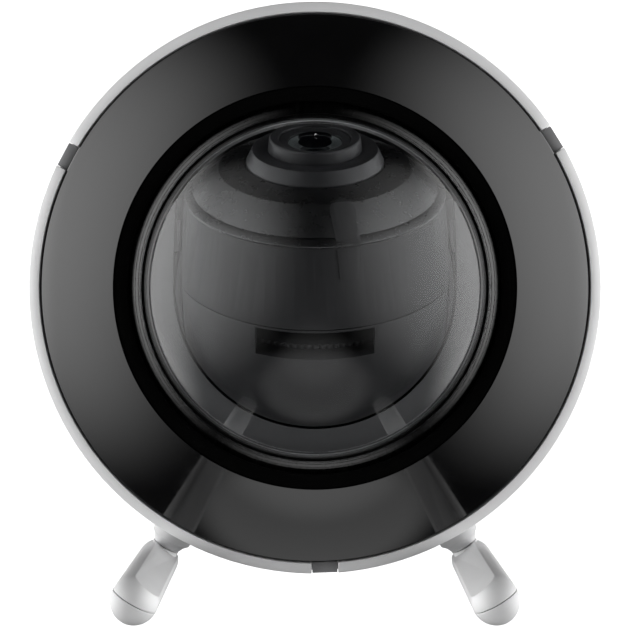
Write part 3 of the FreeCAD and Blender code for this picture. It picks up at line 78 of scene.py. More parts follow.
class Wiring:
    """A material's node tree, with short ways to add and join nodes."""

    def __init__(self, tree: bpy.types.NodeTree) -> None:
        """Starts from an empty tree.

        Args:
            tree: the tree of a material or of the world.
        """
        self.tree = tree
        tree.nodes.clear()

    def add(self, kind: str, **sockets: object) -> bpy.types.Node:
        """Adds a node and fills its sockets.

        Args:
            kind: the node's type, such as ShaderNodeTexNoise.
            sockets: a value or an output socket for each input, by name with _ for a space.

        Returns:
            The new node.
        """
        node = self.tree.nodes.new(kind)
        for name, value in sockets.items():
            self.feed(node.inputs[name.replace("_", " ")], value)
        return node

    def feed(self, socket: bpy.types.NodeSocket, value: object) -> None:
        """Links an output to a socket, or sets the socket's own value.

        Args:
            socket: the input to fill.
            value: another node's output, or a plain value.
        """
        if isinstance(value, bpy.types.NodeSocket):
            self.tree.links.new(value, socket)
        else:
            socket.default_value = value

    def operate(self, kind: str, operation: str, *values: object) -> bpy.types.Node:
        """Adds a node that works out something from its inputs.

        Args:
            kind: the node's type.
            operation: what it does, such as MULTIPLY.
            values: a value or an output for each input, in order.

        Returns:
            The new node.
        """
        node = self.tree.nodes.new(kind)
        node.operation = operation
        for socket, value in zip(node.inputs, values):
            self.feed(socket, value)
        return node

    def math(self, operation: str, *values: object) -> bpy.types.NodeSocket:
        """Works out a number from numbers and returns its output."""
        return self.operate("ShaderNodeMath", operation, *values).outputs[0]

    def vector(self, operation: str, *values: object) -> bpy.types.NodeSocket:
        """Works out a vector from vectors and returns its output."""
        return self.operate("ShaderNodeVectorMath", operation, *values).outputs["Vector"]

    def measure(self, operation: str, *values: object) -> bpy.types.NodeSocket:
        """Works out a number from vectors and returns its output."""
        return self.operate("ShaderNodeVectorMath", operation, *values).outputs["Value"]

    def ramp(
        self, value: bpy.types.NodeSocket, low: float, high: float, first: float = 0.0, last: float = 1.0
    ) -> bpy.types.NodeSocket:
        """Maps low..high to first..last with soft ends.

        Args:
            value: the output to map.
            low: where the ramp starts.
            high: where it ends.
            first: its value at the start.
            last: its value at the end.

        Returns:
            The mapped output.
        """
        node = self.add("ShaderNodeMapRange", Value=value)
        node.interpolation_type = "SMOOTHSTEP"
        for name, number in (("From Min", low), ("From Max", high), ("To Min", first), ("To Max", last)):
            node.inputs[name].default_value = number
        return node.outputs[0]

    def blend(self, share: object, first: object, second: object) -> bpy.types.NodeSocket:
        """Mixes two colours.

        Args:
            share: how much of the second colour shows, from 0 to 1.
            first: the first colour.
            second: the second colour.

        Returns:
            The mixed colour's output.
        """
        node = self.tree.nodes.new("ShaderNodeMix")
        node.data_type = "RGBA"
        self.feed(node.inputs["Factor"], share)
        colours = [socket for socket in node.inputs if socket.type == "RGBA"]
        self.feed(colours[0], first)
        self.feed(colours[1], second)
        return next(socket for socket in node.outputs if socket.type == "RGBA")

    def mix(
        self, share: bpy.types.NodeSocket, first: bpy.types.NodeSocket, second: bpy.types.NodeSocket
    ) -> bpy.types.NodeSocket:
        """Mixes two shaders.

        Args:
            share: how much of the second shader shows, from 0 to 1.
            first: the first shader's output.
            second: the second shader's output.

        Returns:
            The mixed shader's output.
        """
        node = self.add("ShaderNodeMixShader", Fac=share)
        self.feed(node.inputs[1], first)
        self.feed(node.inputs[2], second)
        return node.outputs[0]

    def place(self, scale: tuple[float, float, float] = (1, 1, 1)) -> bpy.types.NodeSocket:
        """The object's own coordinates in metres, stretched by scale."""
        where = self.add("ShaderNodeTexCoord")
        return self.add("ShaderNodeMapping", Vector=where.outputs["Object"], Scale=scale).outputs[0]

    def noise(self, scale: float, detail: float) -> bpy.types.NodeSocket:
        """Adds noise on the object's own coordinates.

        Args:
            scale: how many features a metre has.
            detail: how many finer layers lie on it.

        Returns:
            The noise's output.
        """
        layer_share = 0.55
        node = self.add(
            "ShaderNodeTexNoise", Vector=self.place(), Scale=scale, Detail=detail, Roughness=layer_share
        )
        return node.outputs[0]


@dataclass(frozen=True)
class Surface:
    """What every finish has: a name, and a material that is made once."""

    name: str

    def material(self) -> bpy.types.Material:
        """Makes the material the first time and returns it.

        Returns:
            The finish's material.
        """
        title = f"{self.name}_finish"
        made = bpy.data.materials.get(title)
        if made is None:
            made = bpy.data.materials.new(title)
            made.use_nodes = True
            wiring = Wiring(made.node_tree)
            wiring.add("ShaderNodeOutputMaterial", Surface=self.shader(wiring))
            made.diffuse_color = self.swatch()
        return made

    def shader(self, wiring: Wiring) -> bpy.types.NodeSocket:
        """Adds the finish's nodes and returns the output of the last shader."""
        raise NotImplementedError

    def swatch(self) -> tuple[float, float, float, float]:
        """The plain colour that stands for the finish where no nodes are read."""
        raise NotImplementedError


@dataclass(frozen=True)
class Finish(Surface):
    """A moulded or metal surface: colour that varies in patches, and grain in gloss and relief.

    Spread is how far the roughness varies to either side. Grain and patch count the features in a
    metre, and relief is the grain's height in millimetres. Edges are the noise values between which
    patches and grain turn from one look to the other.
    """

    colour: Colour
    other: Colour
    roughness: float = 0.45
    spread: float = 0.06
    grain: float = 2500.0
    relief: float = 0.02
    patch: float = 45.0
    metallic: float = 0.0
    specular: float = 0.5
    coat: float = 0.0
    coat_roughness: float = 0.04
    least_roughness: float = 0.01
    patch_detail: float = 4.0
    patch_edges: tuple[float, float] = (0.35, 0.68)
    grain_detail: float = 2.0
    grain_edges: tuple[float, float] = (0.3, 0.7)

    def shader(self, wiring: Wiring) -> bpy.types.NodeSocket:
        """Adds the Principled node and paints it.

        Args:
            wiring: the material's nodes.

        Returns:
            The shader's output.
        """
        principled = wiring.add("ShaderNodeBsdfPrincipled")
        self.paint(wiring, principled)
        return principled.outputs[0]

    def swatch(self) -> tuple[float, float, float, float]:
        """The first of the two colours."""
        return (*self.colour, 1.0)

    def paint(self, wiring: Wiring, principled: bpy.types.Node) -> None:
        """Fills the shader's sockets.

        Args:
            wiring: the material's nodes.
            principled: the Principled node.
        """
        patches = wiring.ramp(wiring.noise(self.patch, self.patch_detail), *self.patch_edges)
        self.shade(wiring, principled, patches)
        fine = wiring.noise(self.grain, self.grain_detail)
        low = max(self.roughness - self.spread, self.least_roughness)
        high = self.roughness + self.spread
        wiring.feed(principled.inputs["Roughness"], wiring.ramp(fine, *self.grain_edges, low, high))
        principled.inputs["Metallic"].default_value = self.metallic
        principled.inputs["Specular IOR Level"].default_value = self.specular
        principled.inputs["Coat Weight"].default_value = self.coat
        principled.inputs["Coat Roughness"].default_value = self.coat_roughness
        if self.relief > 0.0:
            self.emboss(wiring, principled, fine, 1.0, self.relief)

    def shade(self, wiring: Wiring, principled: bpy.types.Node, share: bpy.types.NodeSocket) -> None:
        """Gives the shader the two colours, mixed by share."""
        colour = wiring.blend(share, (*self.colour, 1.0), (*self.other, 1.0))
        wiring.feed(principled.inputs["Base Color"], colour)

    def emboss(
        self,
        wiring: Wiring,
        principled: bpy.types.Node,
        height: bpy.types.NodeSocket,
        strength: float,
        depth: float,
    ) -> None:
        """Gives the shader a fine relief.

        Args:
            wiring: the material's nodes.
            principled: the Principled node.
            height: the relief's pattern, from 0 to 1.
            strength: how much of it shows.
            depth: its height in millimetres.
        """
        bump = wiring.add("ShaderNodeBump", Strength=strength, Distance=depth * MM, Height=height)
        wiring.feed(principled.inputs["Normal"], bump.outputs[0])


@dataclass(frozen=True)
class BoardFinish(Finish):
    """Green board with copper tracks and pads under its mask."""

    pitch: float = 420.0
    track_start: float = 0.36
    track_end: float = 0.40

    def paint(self, wiring: Wiring, principled: bpy.types.Node) -> None:
        """Adds tracks to the plain finish.

        Args:
            wiring: the material's nodes.
            principled: the Principled node.
        """
        super().paint(wiring, principled)
        cells = wiring.add("ShaderNodeTexVoronoi", Vector=wiring.place((1, 1, 0)), Scale=self.pitch)
        cells.distance = "CHEBYCHEV"
        tracks = wiring.ramp(cells.outputs["Distance"], self.track_start, self.track_end)
        self.shade(wiring, principled, tracks)


@dataclass(frozen=True)
class LinedFinish(Finish):
    """A turned surface with fine rings round the dome's axis."""

    lines: float = 900.0
    line_share: float = 0.35
    line_depth: float = 0.02

    def paint(self, wiring: Wiring, principled: bpy.types.Node) -> None:
        """Puts rings in the place of the plain finish's relief.

        Args:
            wiring: the material's nodes.
            principled: the Principled node.
        """
        super().paint(wiring, principled)
        rings = wiring.add("ShaderNodeTexWave", Vector=wiring.place(), Scale=self.lines, Distortion=0.0)
        rings.wave_type = "RINGS"
        rings.rings_direction = "Z"
        self.emboss(wiring, principled, rings.outputs["Fac"], self.line_share, self.line_depth)


@dataclass(frozen=True)
class ClearFinish(Surface):
    """A clear thin wall: it lets light through and mirrors more the flatter it is seen.

    Least and most are the mirrored shares when it is seen square on and edge on. The roughness grows
    to smear times its own value in patches.
    """

    tint: Colour = (0.95, 0.955, 0.96)
    roughness: float = 0.02
    least: float = 0.015
    most: float = 1.0
    sharpness: float = 3.5
    smear: float = 2.5
    patch: float = 60.0
    patch_detail: float = 3.0
    patch_edges: tuple[float, float] = (0.4, 0.75)

    def shader(self, wiring: Wiring) -> bpy.types.NodeSocket:
        """Mixes a see-through and a mirroring shader.

        Args:
            wiring: the material's nodes.

        Returns:
            The mixed shader's output.
        """
        through = wiring.add("ShaderNodeBsdfTransparent", Color=(*self.tint, 1.0))
        patches = wiring.noise(self.patch, self.patch_detail)
        smeared = wiring.ramp(patches, *self.patch_edges, self.roughness, self.roughness * self.smear)
        mirror = wiring.add("ShaderNodeBsdfGlossy", Color=(1, 1, 1, 1), Roughness=smeared)
        facing = wiring.add("ShaderNodeLayerWeight", Blend=0.5).outputs["Facing"]
        rise = wiring.math("MULTIPLY", wiring.math("POWER", facing, self.sharpness), self.most - self.least)
        share = wiring.math("ADD", rise, self.least)
        return wiring.mix(share, through.outputs[0], mirror.outputs[0])

    def swatch(self) -> tuple[float, float, float, float]:
        """The tint, mostly see-through."""
        return (*self.tint, 0.2)


@dataclass(frozen=True)
class PaintedPupilFinish(ClearFinish):
    """A clear lens with a black pupil painted round the optical axis as shade of the lens's dark inside,
    with its radius and edge in millimetres.
    """

    pupil: float = 4.0
    edge: float = 0.1
    black: Colour = (0.002, 0.002, 0.003)
    black_roughness: float = 0.05

    def shader(self, wiring: Wiring) -> bpy.types.NodeSocket:
        """Lays the pupil over the clear shader.

        Args:
            wiring: the material's nodes.

        Returns:
            The mixed shader's output.
        """
        clear = super().shader(wiring)
        tilt = math.radians(-HEAD_TILT)
        axis = (0.0, math.sin(tilt), math.cos(tilt))
        from_centre = wiring.vector("SUBTRACT", wiring.place(), (0.0, 0.0, DOME_CENTRE * MM))
        from_axis = wiring.measure("LENGTH", wiring.vector("CROSS_PRODUCT", from_centre, axis))
        low, high = (self.pupil - self.edge) * MM, (self.pupil + self.edge) * MM
        # Painted shade: a near-black disc on the glass round the axis stands for the dark inside of the
        # lens.
        share = wiring.ramp(from_axis, low, high, 1.0, 0.0)
        colour = (*self.black, 1.0)
        black = wiring.add("ShaderNodeBsdfPrincipled", Base_Color=colour, Roughness=self.black_roughness)
        return wiring.mix(share, clear, black.outputs[0])


WHITE = Finish("white_shell", (0.79, 0.79, 0.795), (0.75, 0.75, 0.755), roughness=0.42, spread=0.05)
# Painted shade: the housing cup gets a darker copy of the trim's white, which tones down the strong side
# light on its walls.
HOUSING_PAINTED_SHADE_WHITE = Finish(
    "housing_shell", (0.69, 0.69, 0.695), (0.65, 0.65, 0.655), roughness=0.42, spread=0.05
)
# Painted shade: the necks get a darker copy of the white, for the shadow that the trim ring casts on them.
NECK_PAINTED_SHADE_WHITE = Finish("neck_painted_shade", (0.52, 0.52, 0.525), (0.48, 0.48, 0.485), roughness=0.42, spread=0.05)
ANTENNA_WHITE = Finish(
    "antenna_plastic", (0.73, 0.73, 0.735), (0.70, 0.70, 0.705), roughness=0.42, spread=0.05
)
GLOSS_BLACK = Finish(
    "gloss_black",
    (0.0035, 0.0035, 0.0037),
    (0.005, 0.005, 0.0052),
    roughness=0.09,
    spread=0.03,
    grain=900.0,
    relief=0.0005,
    patch=30.0,
)
# Black rubber of the seals, also laid on the sides of the head's tab as painted shadow of the gap round it.
SEAL_AND_GAP_SHADE_BLACK = Finish(
    "seal_rubber",
    (0.0006, 0.0006, 0.0006),
    (0.001, 0.001, 0.001),
    roughness=0.82,
    grain=3000.0,
    relief=0.03,
    specular=0.02,
)
# The lock ring's own grey plastic; its tabs stand almost flush in the trim's notches, so their grey is also
# painted shade of the notches.
LOCK_AND_NOTCH_SHADE_GREY = Finish("grey_plastic", (0.27, 0.27, 0.275), (0.24, 0.24, 0.245), roughness=0.5)
HEAD_BLACK = Finish(
    "head_plastic",
    (0.011, 0.011, 0.0115),
    (0.013, 0.013, 0.0135),
    roughness=0.5,
    spread=0.03,
    grain=400.0,
    relief=0.0,
    specular=0.25,
)
CONE_BLACK = Finish(
    "cone_plastic",
    (0.005, 0.005, 0.0052),
    (0.006, 0.006, 0.0062),
    roughness=0.28,
    spread=0.01,
    grain=400.0,
    relief=0.0,
)
SHROUD_GREY = Finish(
    "shroud_plastic",
    (0.068, 0.068, 0.069),
    (0.073, 0.073, 0.074),
    roughness=0.6,
    spread=0.05,
    grain=400.0,
    relief=0.0,
    specular=0.1,
)
# Painted light: a light grey for the liner's rim, which brightens the dome's flange seen over it.
RIM_PAINTED_LIGHT_GREY = Finish(
    "rim_painted_light",
    (0.80, 0.80, 0.805),
    (0.76, 0.76, 0.765),
    roughness=0.5,
    spread=0.05,
    grain=400.0,
    relief=0.0,
)
LINER_GREY = LinedFinish("liner_plastic", (0.07, 0.07, 0.071), (0.08, 0.08, 0.081), roughness=0.5)
LENS_BLACK = Finish(
    "lens_plastic",
    (0.014, 0.014, 0.015),
    (0.018, 0.018, 0.019),
    roughness=0.42,
    spread=0.05,
    grain=3000.0,
    relief=0.002,
    specular=0.25,
)
LENS_GREY = Finish("lens_grey", (0.62, 0.64, 0.64), (0.55, 0.56, 0.56), roughness=0.3, spread=0.05)
LENS_COATED = Finish(
    "lens_glass",
    (0.004, 0.005, 0.007),
    (0.006, 0.005, 0.009),
    roughness=0.03,
    spread=0.01,
    grain=800.0,
    relief=0.0,
    patch=200.0,
    coat=1.0,
)
STEEL = Finish(
    "screw_steel",
    (0.55, 0.55, 0.56),
    (0.48, 0.48, 0.49),
    roughness=0.3,
    spread=0.08,
    grain=3000.0,
    relief=0.01,
    patch=80.0,
    metallic=1.0,
)
SPRING = Finish(
    "spring_steel",
    (0.5, 0.5, 0.5),
    (0.42, 0.42, 0.43),
    roughness=0.26,
    relief=0.01,
    patch=80.0,
    metallic=1.0,
)
PLATE = Finish(
    "plate_metal",
    (0.52, 0.53, 0.54),
    (0.44, 0.45, 0.47),
    roughness=0.4,
    spread=0.1,
    grain=220.0,
    relief=0.004,
    patch=90.0,
    metallic=0.8,
)
BOARD = BoardFinish("board_green", (0.012, 0.07, 0.035), (0.02, 0.11, 0.05), roughness=0.34, spread=0.05)
CHIP = Finish("chip_black", (0.02, 0.02, 0.021), (0.03, 0.03, 0.031), roughness=0.55, spread=0.05)
LAMP = Finish(
    "lamp_clear",
    (0.05, 0.03, 0.045),
    (0.07, 0.04, 0.06),
    roughness=0.06,
    spread=0.02,
    grain=900.0,
    relief=0.0,
    coat=1.0,
)
SINK = Finish(
    "heatsink_metal",
    (0.62, 0.63, 0.65),
    (0.56, 0.57, 0.59),
    roughness=0.35,
    spread=0.08,
    grain=1500.0,
    relief=0.01,
    patch=80.0,
    metallic=1.0,
)
RED = Finish("button_red", (0.42, 0.02, 0.015), (0.36, 0.018, 0.014), roughness=0.4, spread=0.05)
DOME_CLEAR = ClearFinish("dome_clear", most=0.5)
DOME_INSIDE = ClearFinish("dome_inside", least=0.0, most=0.01, sharpness=1.0)
DOME_FLANGE = ClearFinish("dome_flange", (0.5, 0.5, 0.5), roughness=0.06, least=0.08)
# The front glass, with its pupil painted black as shade of the lens's inside.
LENS_CLEAR = PaintedPupilFinish(
    "lens_clear", (0.88, 0.9, 0.9), roughness=0.01, least=0.01, most=0.3, sharpness=4.0
)


# Meshes and pieces


def lathe(points: list[Point], steps: int, soft: float = 0.0, segments: int = 3) -> bmesh.types.BMesh:
    """Turns a closed outline about Z.

    Args:
        points: (radius, height) of the outline's corners, in millimetres.
        steps: how many steps make the full turn.
        soft: how far each sharp edge is rounded, in millimetres.
        segments: how many steps round an edge.

    Returns:
        The turned mesh.
    """
    merge_distance = 1e-7
    bm = bmesh.new()
    corners = [bm.verts.new((radius * MM, 0.0, height * MM)) for radius, height in points]
    edges = [bm.edges.new((first, second)) for first, second in zip(corners, corners[1:] + corners[:1])]
    bmesh.ops.spin(
        bm,
        geom=corners + edges,
        cent=(0, 0, 0),
        axis=(0, 0, 1),
        angle=math.tau,
        steps=steps,
        use_merge=True,
    )
    bmesh.ops.remove_doubles(bm, verts=bm.verts[:], dist=merge_distance)
    loose = [edge for edge in bm.edges if not edge.link_faces]
    bmesh.ops.delete(bm, geom=loose, context="EDGES")
    bmesh.ops.recalc_face_normals(bm, faces=bm.faces[:])
    if soft:
        soften(bm, soft, segments)
    return bm


def soften(bm: bmesh.types.BMesh, width: float, segments: int = 2, sharp: float = 24.0) -> None:
    """Rounds the sharp edges.

    Args:
        bm: the mesh.
        width: how wide the rounding is, in millimetres.
        segments: how many steps it has.
        sharp: the least angle between faces that counts as sharp, in degrees.
    """
    least = math.radians(sharp)
    edges = [edge for edge in bm.edges if len(edge.link_faces) == 2 and edge.calc_face_angle(0.0) > least]
    bmesh.ops.bevel(
        bm,
        geom=edges,
        offset=width * MM,
        offset_type="OFFSET",
        segments=segments,
        profile=0.5,
        affect="EDGES",
        clamp_overlap=True,
        material=-1,
    )


def copy_of(node: str) -> bmesh.types.BMesh:
    """A merged copy of a node's own mesh, with its flat faces joined.

    Args:
        node: the node's name.

    Returns:
        The copy, ready to be rounded.
    """
    merge_distance = 2e-6
    flat = math.radians(0.4)
    bm = bmesh.new()
    bm.from_mesh(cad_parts[node].data)
    bmesh.ops.remove_doubles(bm, verts=bm.verts[:], dist=merge_distance)
    bmesh.ops.dissolve_limit(
        bm, angle_limit=flat, verts=bm.verts[:], edges=bm.edges[:], use_dissolve_boundaries=False
    )
    return bm


def tip_to_head(bm: bmesh.types.BMesh) -> None:
    """Moves a mesh drawn about Z to the optical axis, with its origin at the dome's centre."""
    turn = Matrix.Rotation(math.radians(HEAD_TILT), 4, "X")
    bmesh.ops.transform(bm, matrix=Matrix.Translation((0, 0, DOME_CENTRE * MM)) @ turn, verts=bm.verts[:])


def finish_piece(
    bm: bmesh.types.BMesh,
    name: str,
    body: str,
    finish: Surface,
    stands_for: tuple[str, ...],
    smooth: float = 35.0,
) -> bpy.types.Object:
    """Makes an object of a mesh, dresses it and lets it ride on its body.

    Args:
        bm: the finished mesh, which is freed.
        name: the piece's name.
        body: the body that it moves with.
        finish: its finish.
        stands_for: the nodes that it replaces.
        smooth: the widest angle that still shades smoothly, in degrees.

    Returns:
        The new object.
    """
    mesh = bpy.data.meshes.new(name)
    for face in bm.faces:
        face.smooth = True
    limit = math.radians(smooth)
    for edge in bm.edges:
        edge.smooth = len(edge.link_faces) == 2 and edge.calc_face_angle(0.0) <= limit
    bm.to_mesh(mesh)
    bm.free()
    made = bpy.data.objects.new(name, mesh)
    bpy.context.scene.collection.objects.link(made)
    mesh.materials.append(finish.material())
    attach(made, body)
    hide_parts(*stands_for)
    LOG.info("%s: %d faces on %s", name, len(mesh.polygons), body)
    return made


def soft_copy(node: str, name: str, body: str, finish: Surface, soft: float) -> bpy.types.Object:
    """Makes a piece of a node's own mesh, with its sharp edges rounded.

    Args:
        node: the node that it copies and replaces.
        name: the piece's name.
        body: the body that it moves with.
        finish: its finish.
        soft: how far each sharp edge is rounded, in millimetres.

    Returns:
        The new object.
    """
    copy = copy_of(node)
    if soft:
        soften(copy, soft)
    return finish_piece(copy, name, body, finish, (node,))


def paint_faces(
    piece: bpy.types.Object, finish: Surface, chosen: Callable[[bpy.types.MeshPolygon], bool]
) -> None:
    """Gives some of a piece's faces a further finish.

    Args:
        piece: the piece.
        finish: the finish.
        chosen: says whether a face gets it.
    """
    index = len(piece.data.materials)
    piece.data.materials.append(finish.material())
    for face in piece.data.polygons:
        if chosen(face):
            face.material_index = index


def dress(finish: Surface, *nodes: str) -> None:
    """Gives the frame's own nodes a finish.

    Args:
        finish: the finish.
        nodes: the nodes' names.
    """
    for name in nodes:
        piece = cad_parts[name]
        if not piece.data.materials:
            piece.data.materials.append(None)
        for slot in piece.material_slots:
            slot.link = "OBJECT"
            slot.material = finish.material()
        LOG.info("%s: dressed", name)


# Sub-assemblies, with their sizes in millimetres


@dataclass
class Housing:
    """The white cup, the plate and gasket under it, and the screws and grommet in its floor."""

    base_radius: float = 66.0
    base_bevel: float = 1.5
    floor: float = 3.5
    floor_top: float = 6.5
    cable_hole: float = 9.0
    inner_floor: float = 63.0
    shoulder: float = 74.2
    shoulder_height: float = 36.0
    shoulder_wall: float = 4.2
    trim_bottom: float = 49.0
    seat_step: float = 0.5
    seat_drop: float = 0.6
    rim_top: float = 50.5
    rim_outer: float = 71.9
    rim_inner: float = 68.0
    rim_depth: float = 1.0
    soft: float = 0.6
    soft_steps: int = 4
    steps: int = 256

    def build(self) -> None:
        """Builds the cup and dresses what stays."""
        outline = [
            (self.cable_hole, self.floor),
            (self.base_radius - self.base_bevel, self.floor),
            (self.base_radius, self.floor + self.base_bevel),
            (self.shoulder, self.shoulder_height),
            (self.shoulder, self.trim_bottom - self.seat_drop),
            (self.shoulder - self.seat_step, self.trim_bottom - self.seat_drop / 2),
            (self.shoulder - self.seat_step, self.trim_bottom),
            (self.rim_outer, self.trim_bottom),
            (self.rim_outer, self.rim_top),
            (self.rim_inner, self.rim_top),
            (self.rim_inner, self.trim_bottom - self.rim_depth),
            (self.shoulder - self.shoulder_wall, self.shoulder_height),
            (self.inner_floor, self.floor_top),
            (self.cable_hole, self.floor_top),
        ]
        shell = lathe(outline, self.steps, self.soft, self.soft_steps)
        # The cup is dressed in the darker copy of the white, as painted shade.
        finish_piece(shell, "housing_shell", Body.HOUSING.value, HOUSING_PAINTED_SHADE_WHITE, ("rear_housing",))
        dress(PLATE, "mounting_plate")
        dress(SEAL_AND_GAP_SHADE_BLACK, "base_gasket", "cable_grommet", "housing_seal")
        dress(STEEL, "housing_screws")


@dataclass
class FrontRings:
    """The trim ring with its notches, the lock ring and the gloss black cone."""

    soft: float = 0.25
    foot_outer: float = 72.0
    foot_inner: float = 69.8
    foot_bottom: float = 53.0
    foot_top: float = 55.5
    foot_bevel: float = 0.5
    lip: float = 51.0
    lip_top: float = 66.8
    ledge: float = 48.6
    skirt_outer: float = 53.0
    skirt_inner: float = 50.5
    skirt_bottom: float = 60.5
    cone_wall: float = 2.0
    cone_soft: float = 0.15
    cone_steps: int = 320

    def build(self) -> None:
        """Builds the three rings."""
        soft_copy("trim_ring", "trim_hoop", Body.HOUSING.value, WHITE, self.soft)
        # The lock ring's grey tabs are partly painted shade of the notches in the trim.
        soft_copy("lock_ring", "lock_hoop", Body.HOUSING.value, LOCK_AND_NOTCH_SHADE_GREY, self.soft)
        self.cone()

    def cone(self) -> None:
        """Turns the cone with its lip, its foot, the ledge under the seal and the skirt."""
        outline = [
            (self.foot_outer, self.foot_bottom),
            (self.foot_outer, self.foot_top),
            (self.foot_outer - self.foot_bevel, self.foot_top + self.foot_bevel),
            (self.lip, self.lip_top),
            (self.lip, LEDGE_TOP),
            (self.ledge, LEDGE_TOP),
            (self.ledge, FLANGE_TOP),
            (self.skirt_inner, FLANGE_TOP),
            (self.skirt_inner, self.skirt_bottom),
            (self.skirt_outer, self.skirt_bottom),
            self.under(self.skirt_outer),
            self.under(self.foot_inner),
            (self.foot_inner, self.foot_bottom),
        ]
        cone = lathe(outline, self.cone_steps, self.cone_soft)
        finish_piece(cone, "fascia_cone", Body.HOUSING.value, GLOSS_BLACK, ("fascia_ring",))

    def under(self, radius: float) -> Point:
        """A point of the cone's inner face, one wall under its outer face.

        Args:
            radius: the point's distance from the dome's axis.

        Returns:
            The radius, and the height to a thousandth of a millimetre.
        """
        fall = self.lip_top - (self.foot_top + self.foot_bevel)
        run = self.foot_outer - self.foot_bevel - self.lip
        height = self.lip_top - (radius - self.lip) * fall / run - self.cone_wall
        return radius, round(height, 3)


@dataclass
class DomeWindow:
    """The clear dome with its ridged flange, and the black seal round it."""

    radius: float = 44.0
    wall: float = 1.2
    flange: float = 50.2
    flange_bottom: float = 63.4
    ridges: int = 4
    ridge_start: float = 44.15
    ridge_width: float = 0.8
    ridge_height: float = 0.2
    arc_steps: int = 48
    smooth: float = 60.0
    seal_inner: float = 47.4
    seal_foot: float = 48.4
    seal_outer: float = 50.8
    seal_top: float = 66.5
    seal_soft: float = 0.12
    seal_soft_steps: int = 2
    steps: int = 256

    def arc(self, radius: float) -> list[Point]:
        """Draws a quarter circle from the top of the dome down to its middle plane.

        Args:
            radius: the circle's radius.

        Returns:
            Its points.
        """
        angles = [math.pi / 2 * step / self.arc_steps for step in range(self.arc_steps + 1)]
        return [(radius * math.sin(angle), DOME_CENTRE + radius * math.cos(angle)) for angle in angles]

    def teeth(self) -> list[Point]:
        """Draws the flange's fine ridges, which fall outwards apart from the last one, which rises.

        Returns:
            Their points, outwards.
        """
        crest = FLANGE_TOP + self.ridge_height
        points = []
        for ridge in range(self.ridges - 1):
            start = self.ridge_start + ridge * self.ridge_width
            points += [(start, crest), (start + self.ridge_width, FLANGE_TOP)]
        points.append((self.ridge_start + self.ridges * self.ridge_width, crest))
        return points

    def build(self) -> None:
        """Builds the dome and its seal and dresses what lies under them."""
        self.dome()
        self.seal()
        dress(HEAD_BLACK, "dome_retainer")
        dress(STEEL, "retainer_screws")
        dress(BOARD, "infrared_board")
        dress(LAMP, "infrared_lamps")

    def dome(self) -> None:
        """Turns the dome, with finishes of their own on its inner face and its flange."""
        outline = [
            *self.arc(self.radius),
            (self.radius, FLANGE_TOP),
            *self.teeth(),
            (self.flange, FLANGE_TOP),
            (self.flange, self.flange_bottom),
            (self.radius - self.wall, self.flange_bottom),
            *reversed(self.arc(self.radius - self.wall)),
        ]
        shell = lathe(outline, self.steps)
        window = finish_piece(
            shell, "dome_window", Body.HOUSING.value, DOME_CLEAR, ("dome_bubble",), self.smooth
        )
        centre = Vector((0, 0, DOME_CENTRE * MM))
        middle = (self.radius - self.wall / 2) * MM
        paint_faces(window, DOME_INSIDE, lambda face: (face.center - centre).length < middle)
        edge = self.radius * MM
        paint_faces(window, DOME_FLANGE, lambda face: math.hypot(face.center.x, face.center.y) > edge)

    def seal(self) -> None:
        """Turns the seal, which lies on the flange and on the cone's ledge."""
        outline = [
            (self.seal_inner, FLANGE_TOP),
            (self.seal_foot, FLANGE_TOP),
            (self.seal_foot, LEDGE_TOP),
            (self.seal_outer, LEDGE_TOP),
            (self.seal_outer, self.seal_top),
            (self.seal_inner, self.seal_top),
        ]
        seal = lathe(outline, self.steps, self.seal_soft, self.seal_soft_steps)
        finish_piece(seal, "dome_gasket", Body.HOUSING.value, SEAL_AND_GAP_SHADE_BLACK, ("dome_seal",))


@dataclass
class PanStage:
    """The liner cup, the fixed base, and the yoke and shroud that turn in them."""

    liner_outer: float = 43.4
    liner_inner: float = 42.6
    liner_top: float = 63.1
    liner_soft: float = 0.2
    rim_depth: float = 5.0
    base_top: float = 27.2
    floor_top: float = 30.0
    hole: float = 37.8
    steps: int = 256
    yoke_soft: float = 0.3
    shroud_soft: float = 0.15
    slot: float = 35.4

    def build(self) -> None:
        """Builds the liner, the yoke and the shroud and dresses the base."""
        self.liner()
        soft_copy("pan_yoke", "yoke_frame", Body.PAN.value, HEAD_BLACK, self.yoke_soft)
        self.shroud()
        dress(PLATE, "pan_base")
        dress(STEEL, "pan_base_screws", "tilt_pivots")
        dress(SPRING, "pan_clip")

    def liner(self) -> None:
        """Turns the liner, with its rim painted light grey as painted light seen through the dome's flange.
        """
        rim_bottom = self.liner_top - self.rim_depth
        outline = [
            (self.hole, self.base_top),
            (self.liner_outer, self.base_top),
            (self.liner_outer, rim_bottom),
            (self.liner_outer, self.liner_top),
            (self.liner_inner, self.liner_top),
            (self.liner_inner, rim_bottom),
            (self.liner_inner, self.floor_top),
            (self.hole, self.floor_top),
        ]
        shell = lathe(outline, self.steps, self.liner_soft)
        cup = finish_piece(shell, "liner_cup", Body.HOUSING.value, LINER_GREY, ("inner_liner",))
        # The rim gets the light grey, as painted light under the flange.
        paint_faces(cup, RIM_PAINTED_LIGHT_GREY, lambda face: face.center.z > rim_bottom * MM)

    def shroud(self) -> None:
        """Rounds the shroud, with the stretch along its slot as dark as the head."""
        cone = soft_copy("pan_shroud", "shroud_cone", Body.PAN.value, SHROUD_GREY, self.shroud_soft)
        slot = self.slot * MM
        paint_faces(cone, HEAD_BLACK, lambda face: abs(face.center.x) < slot and face.center.y > 0)


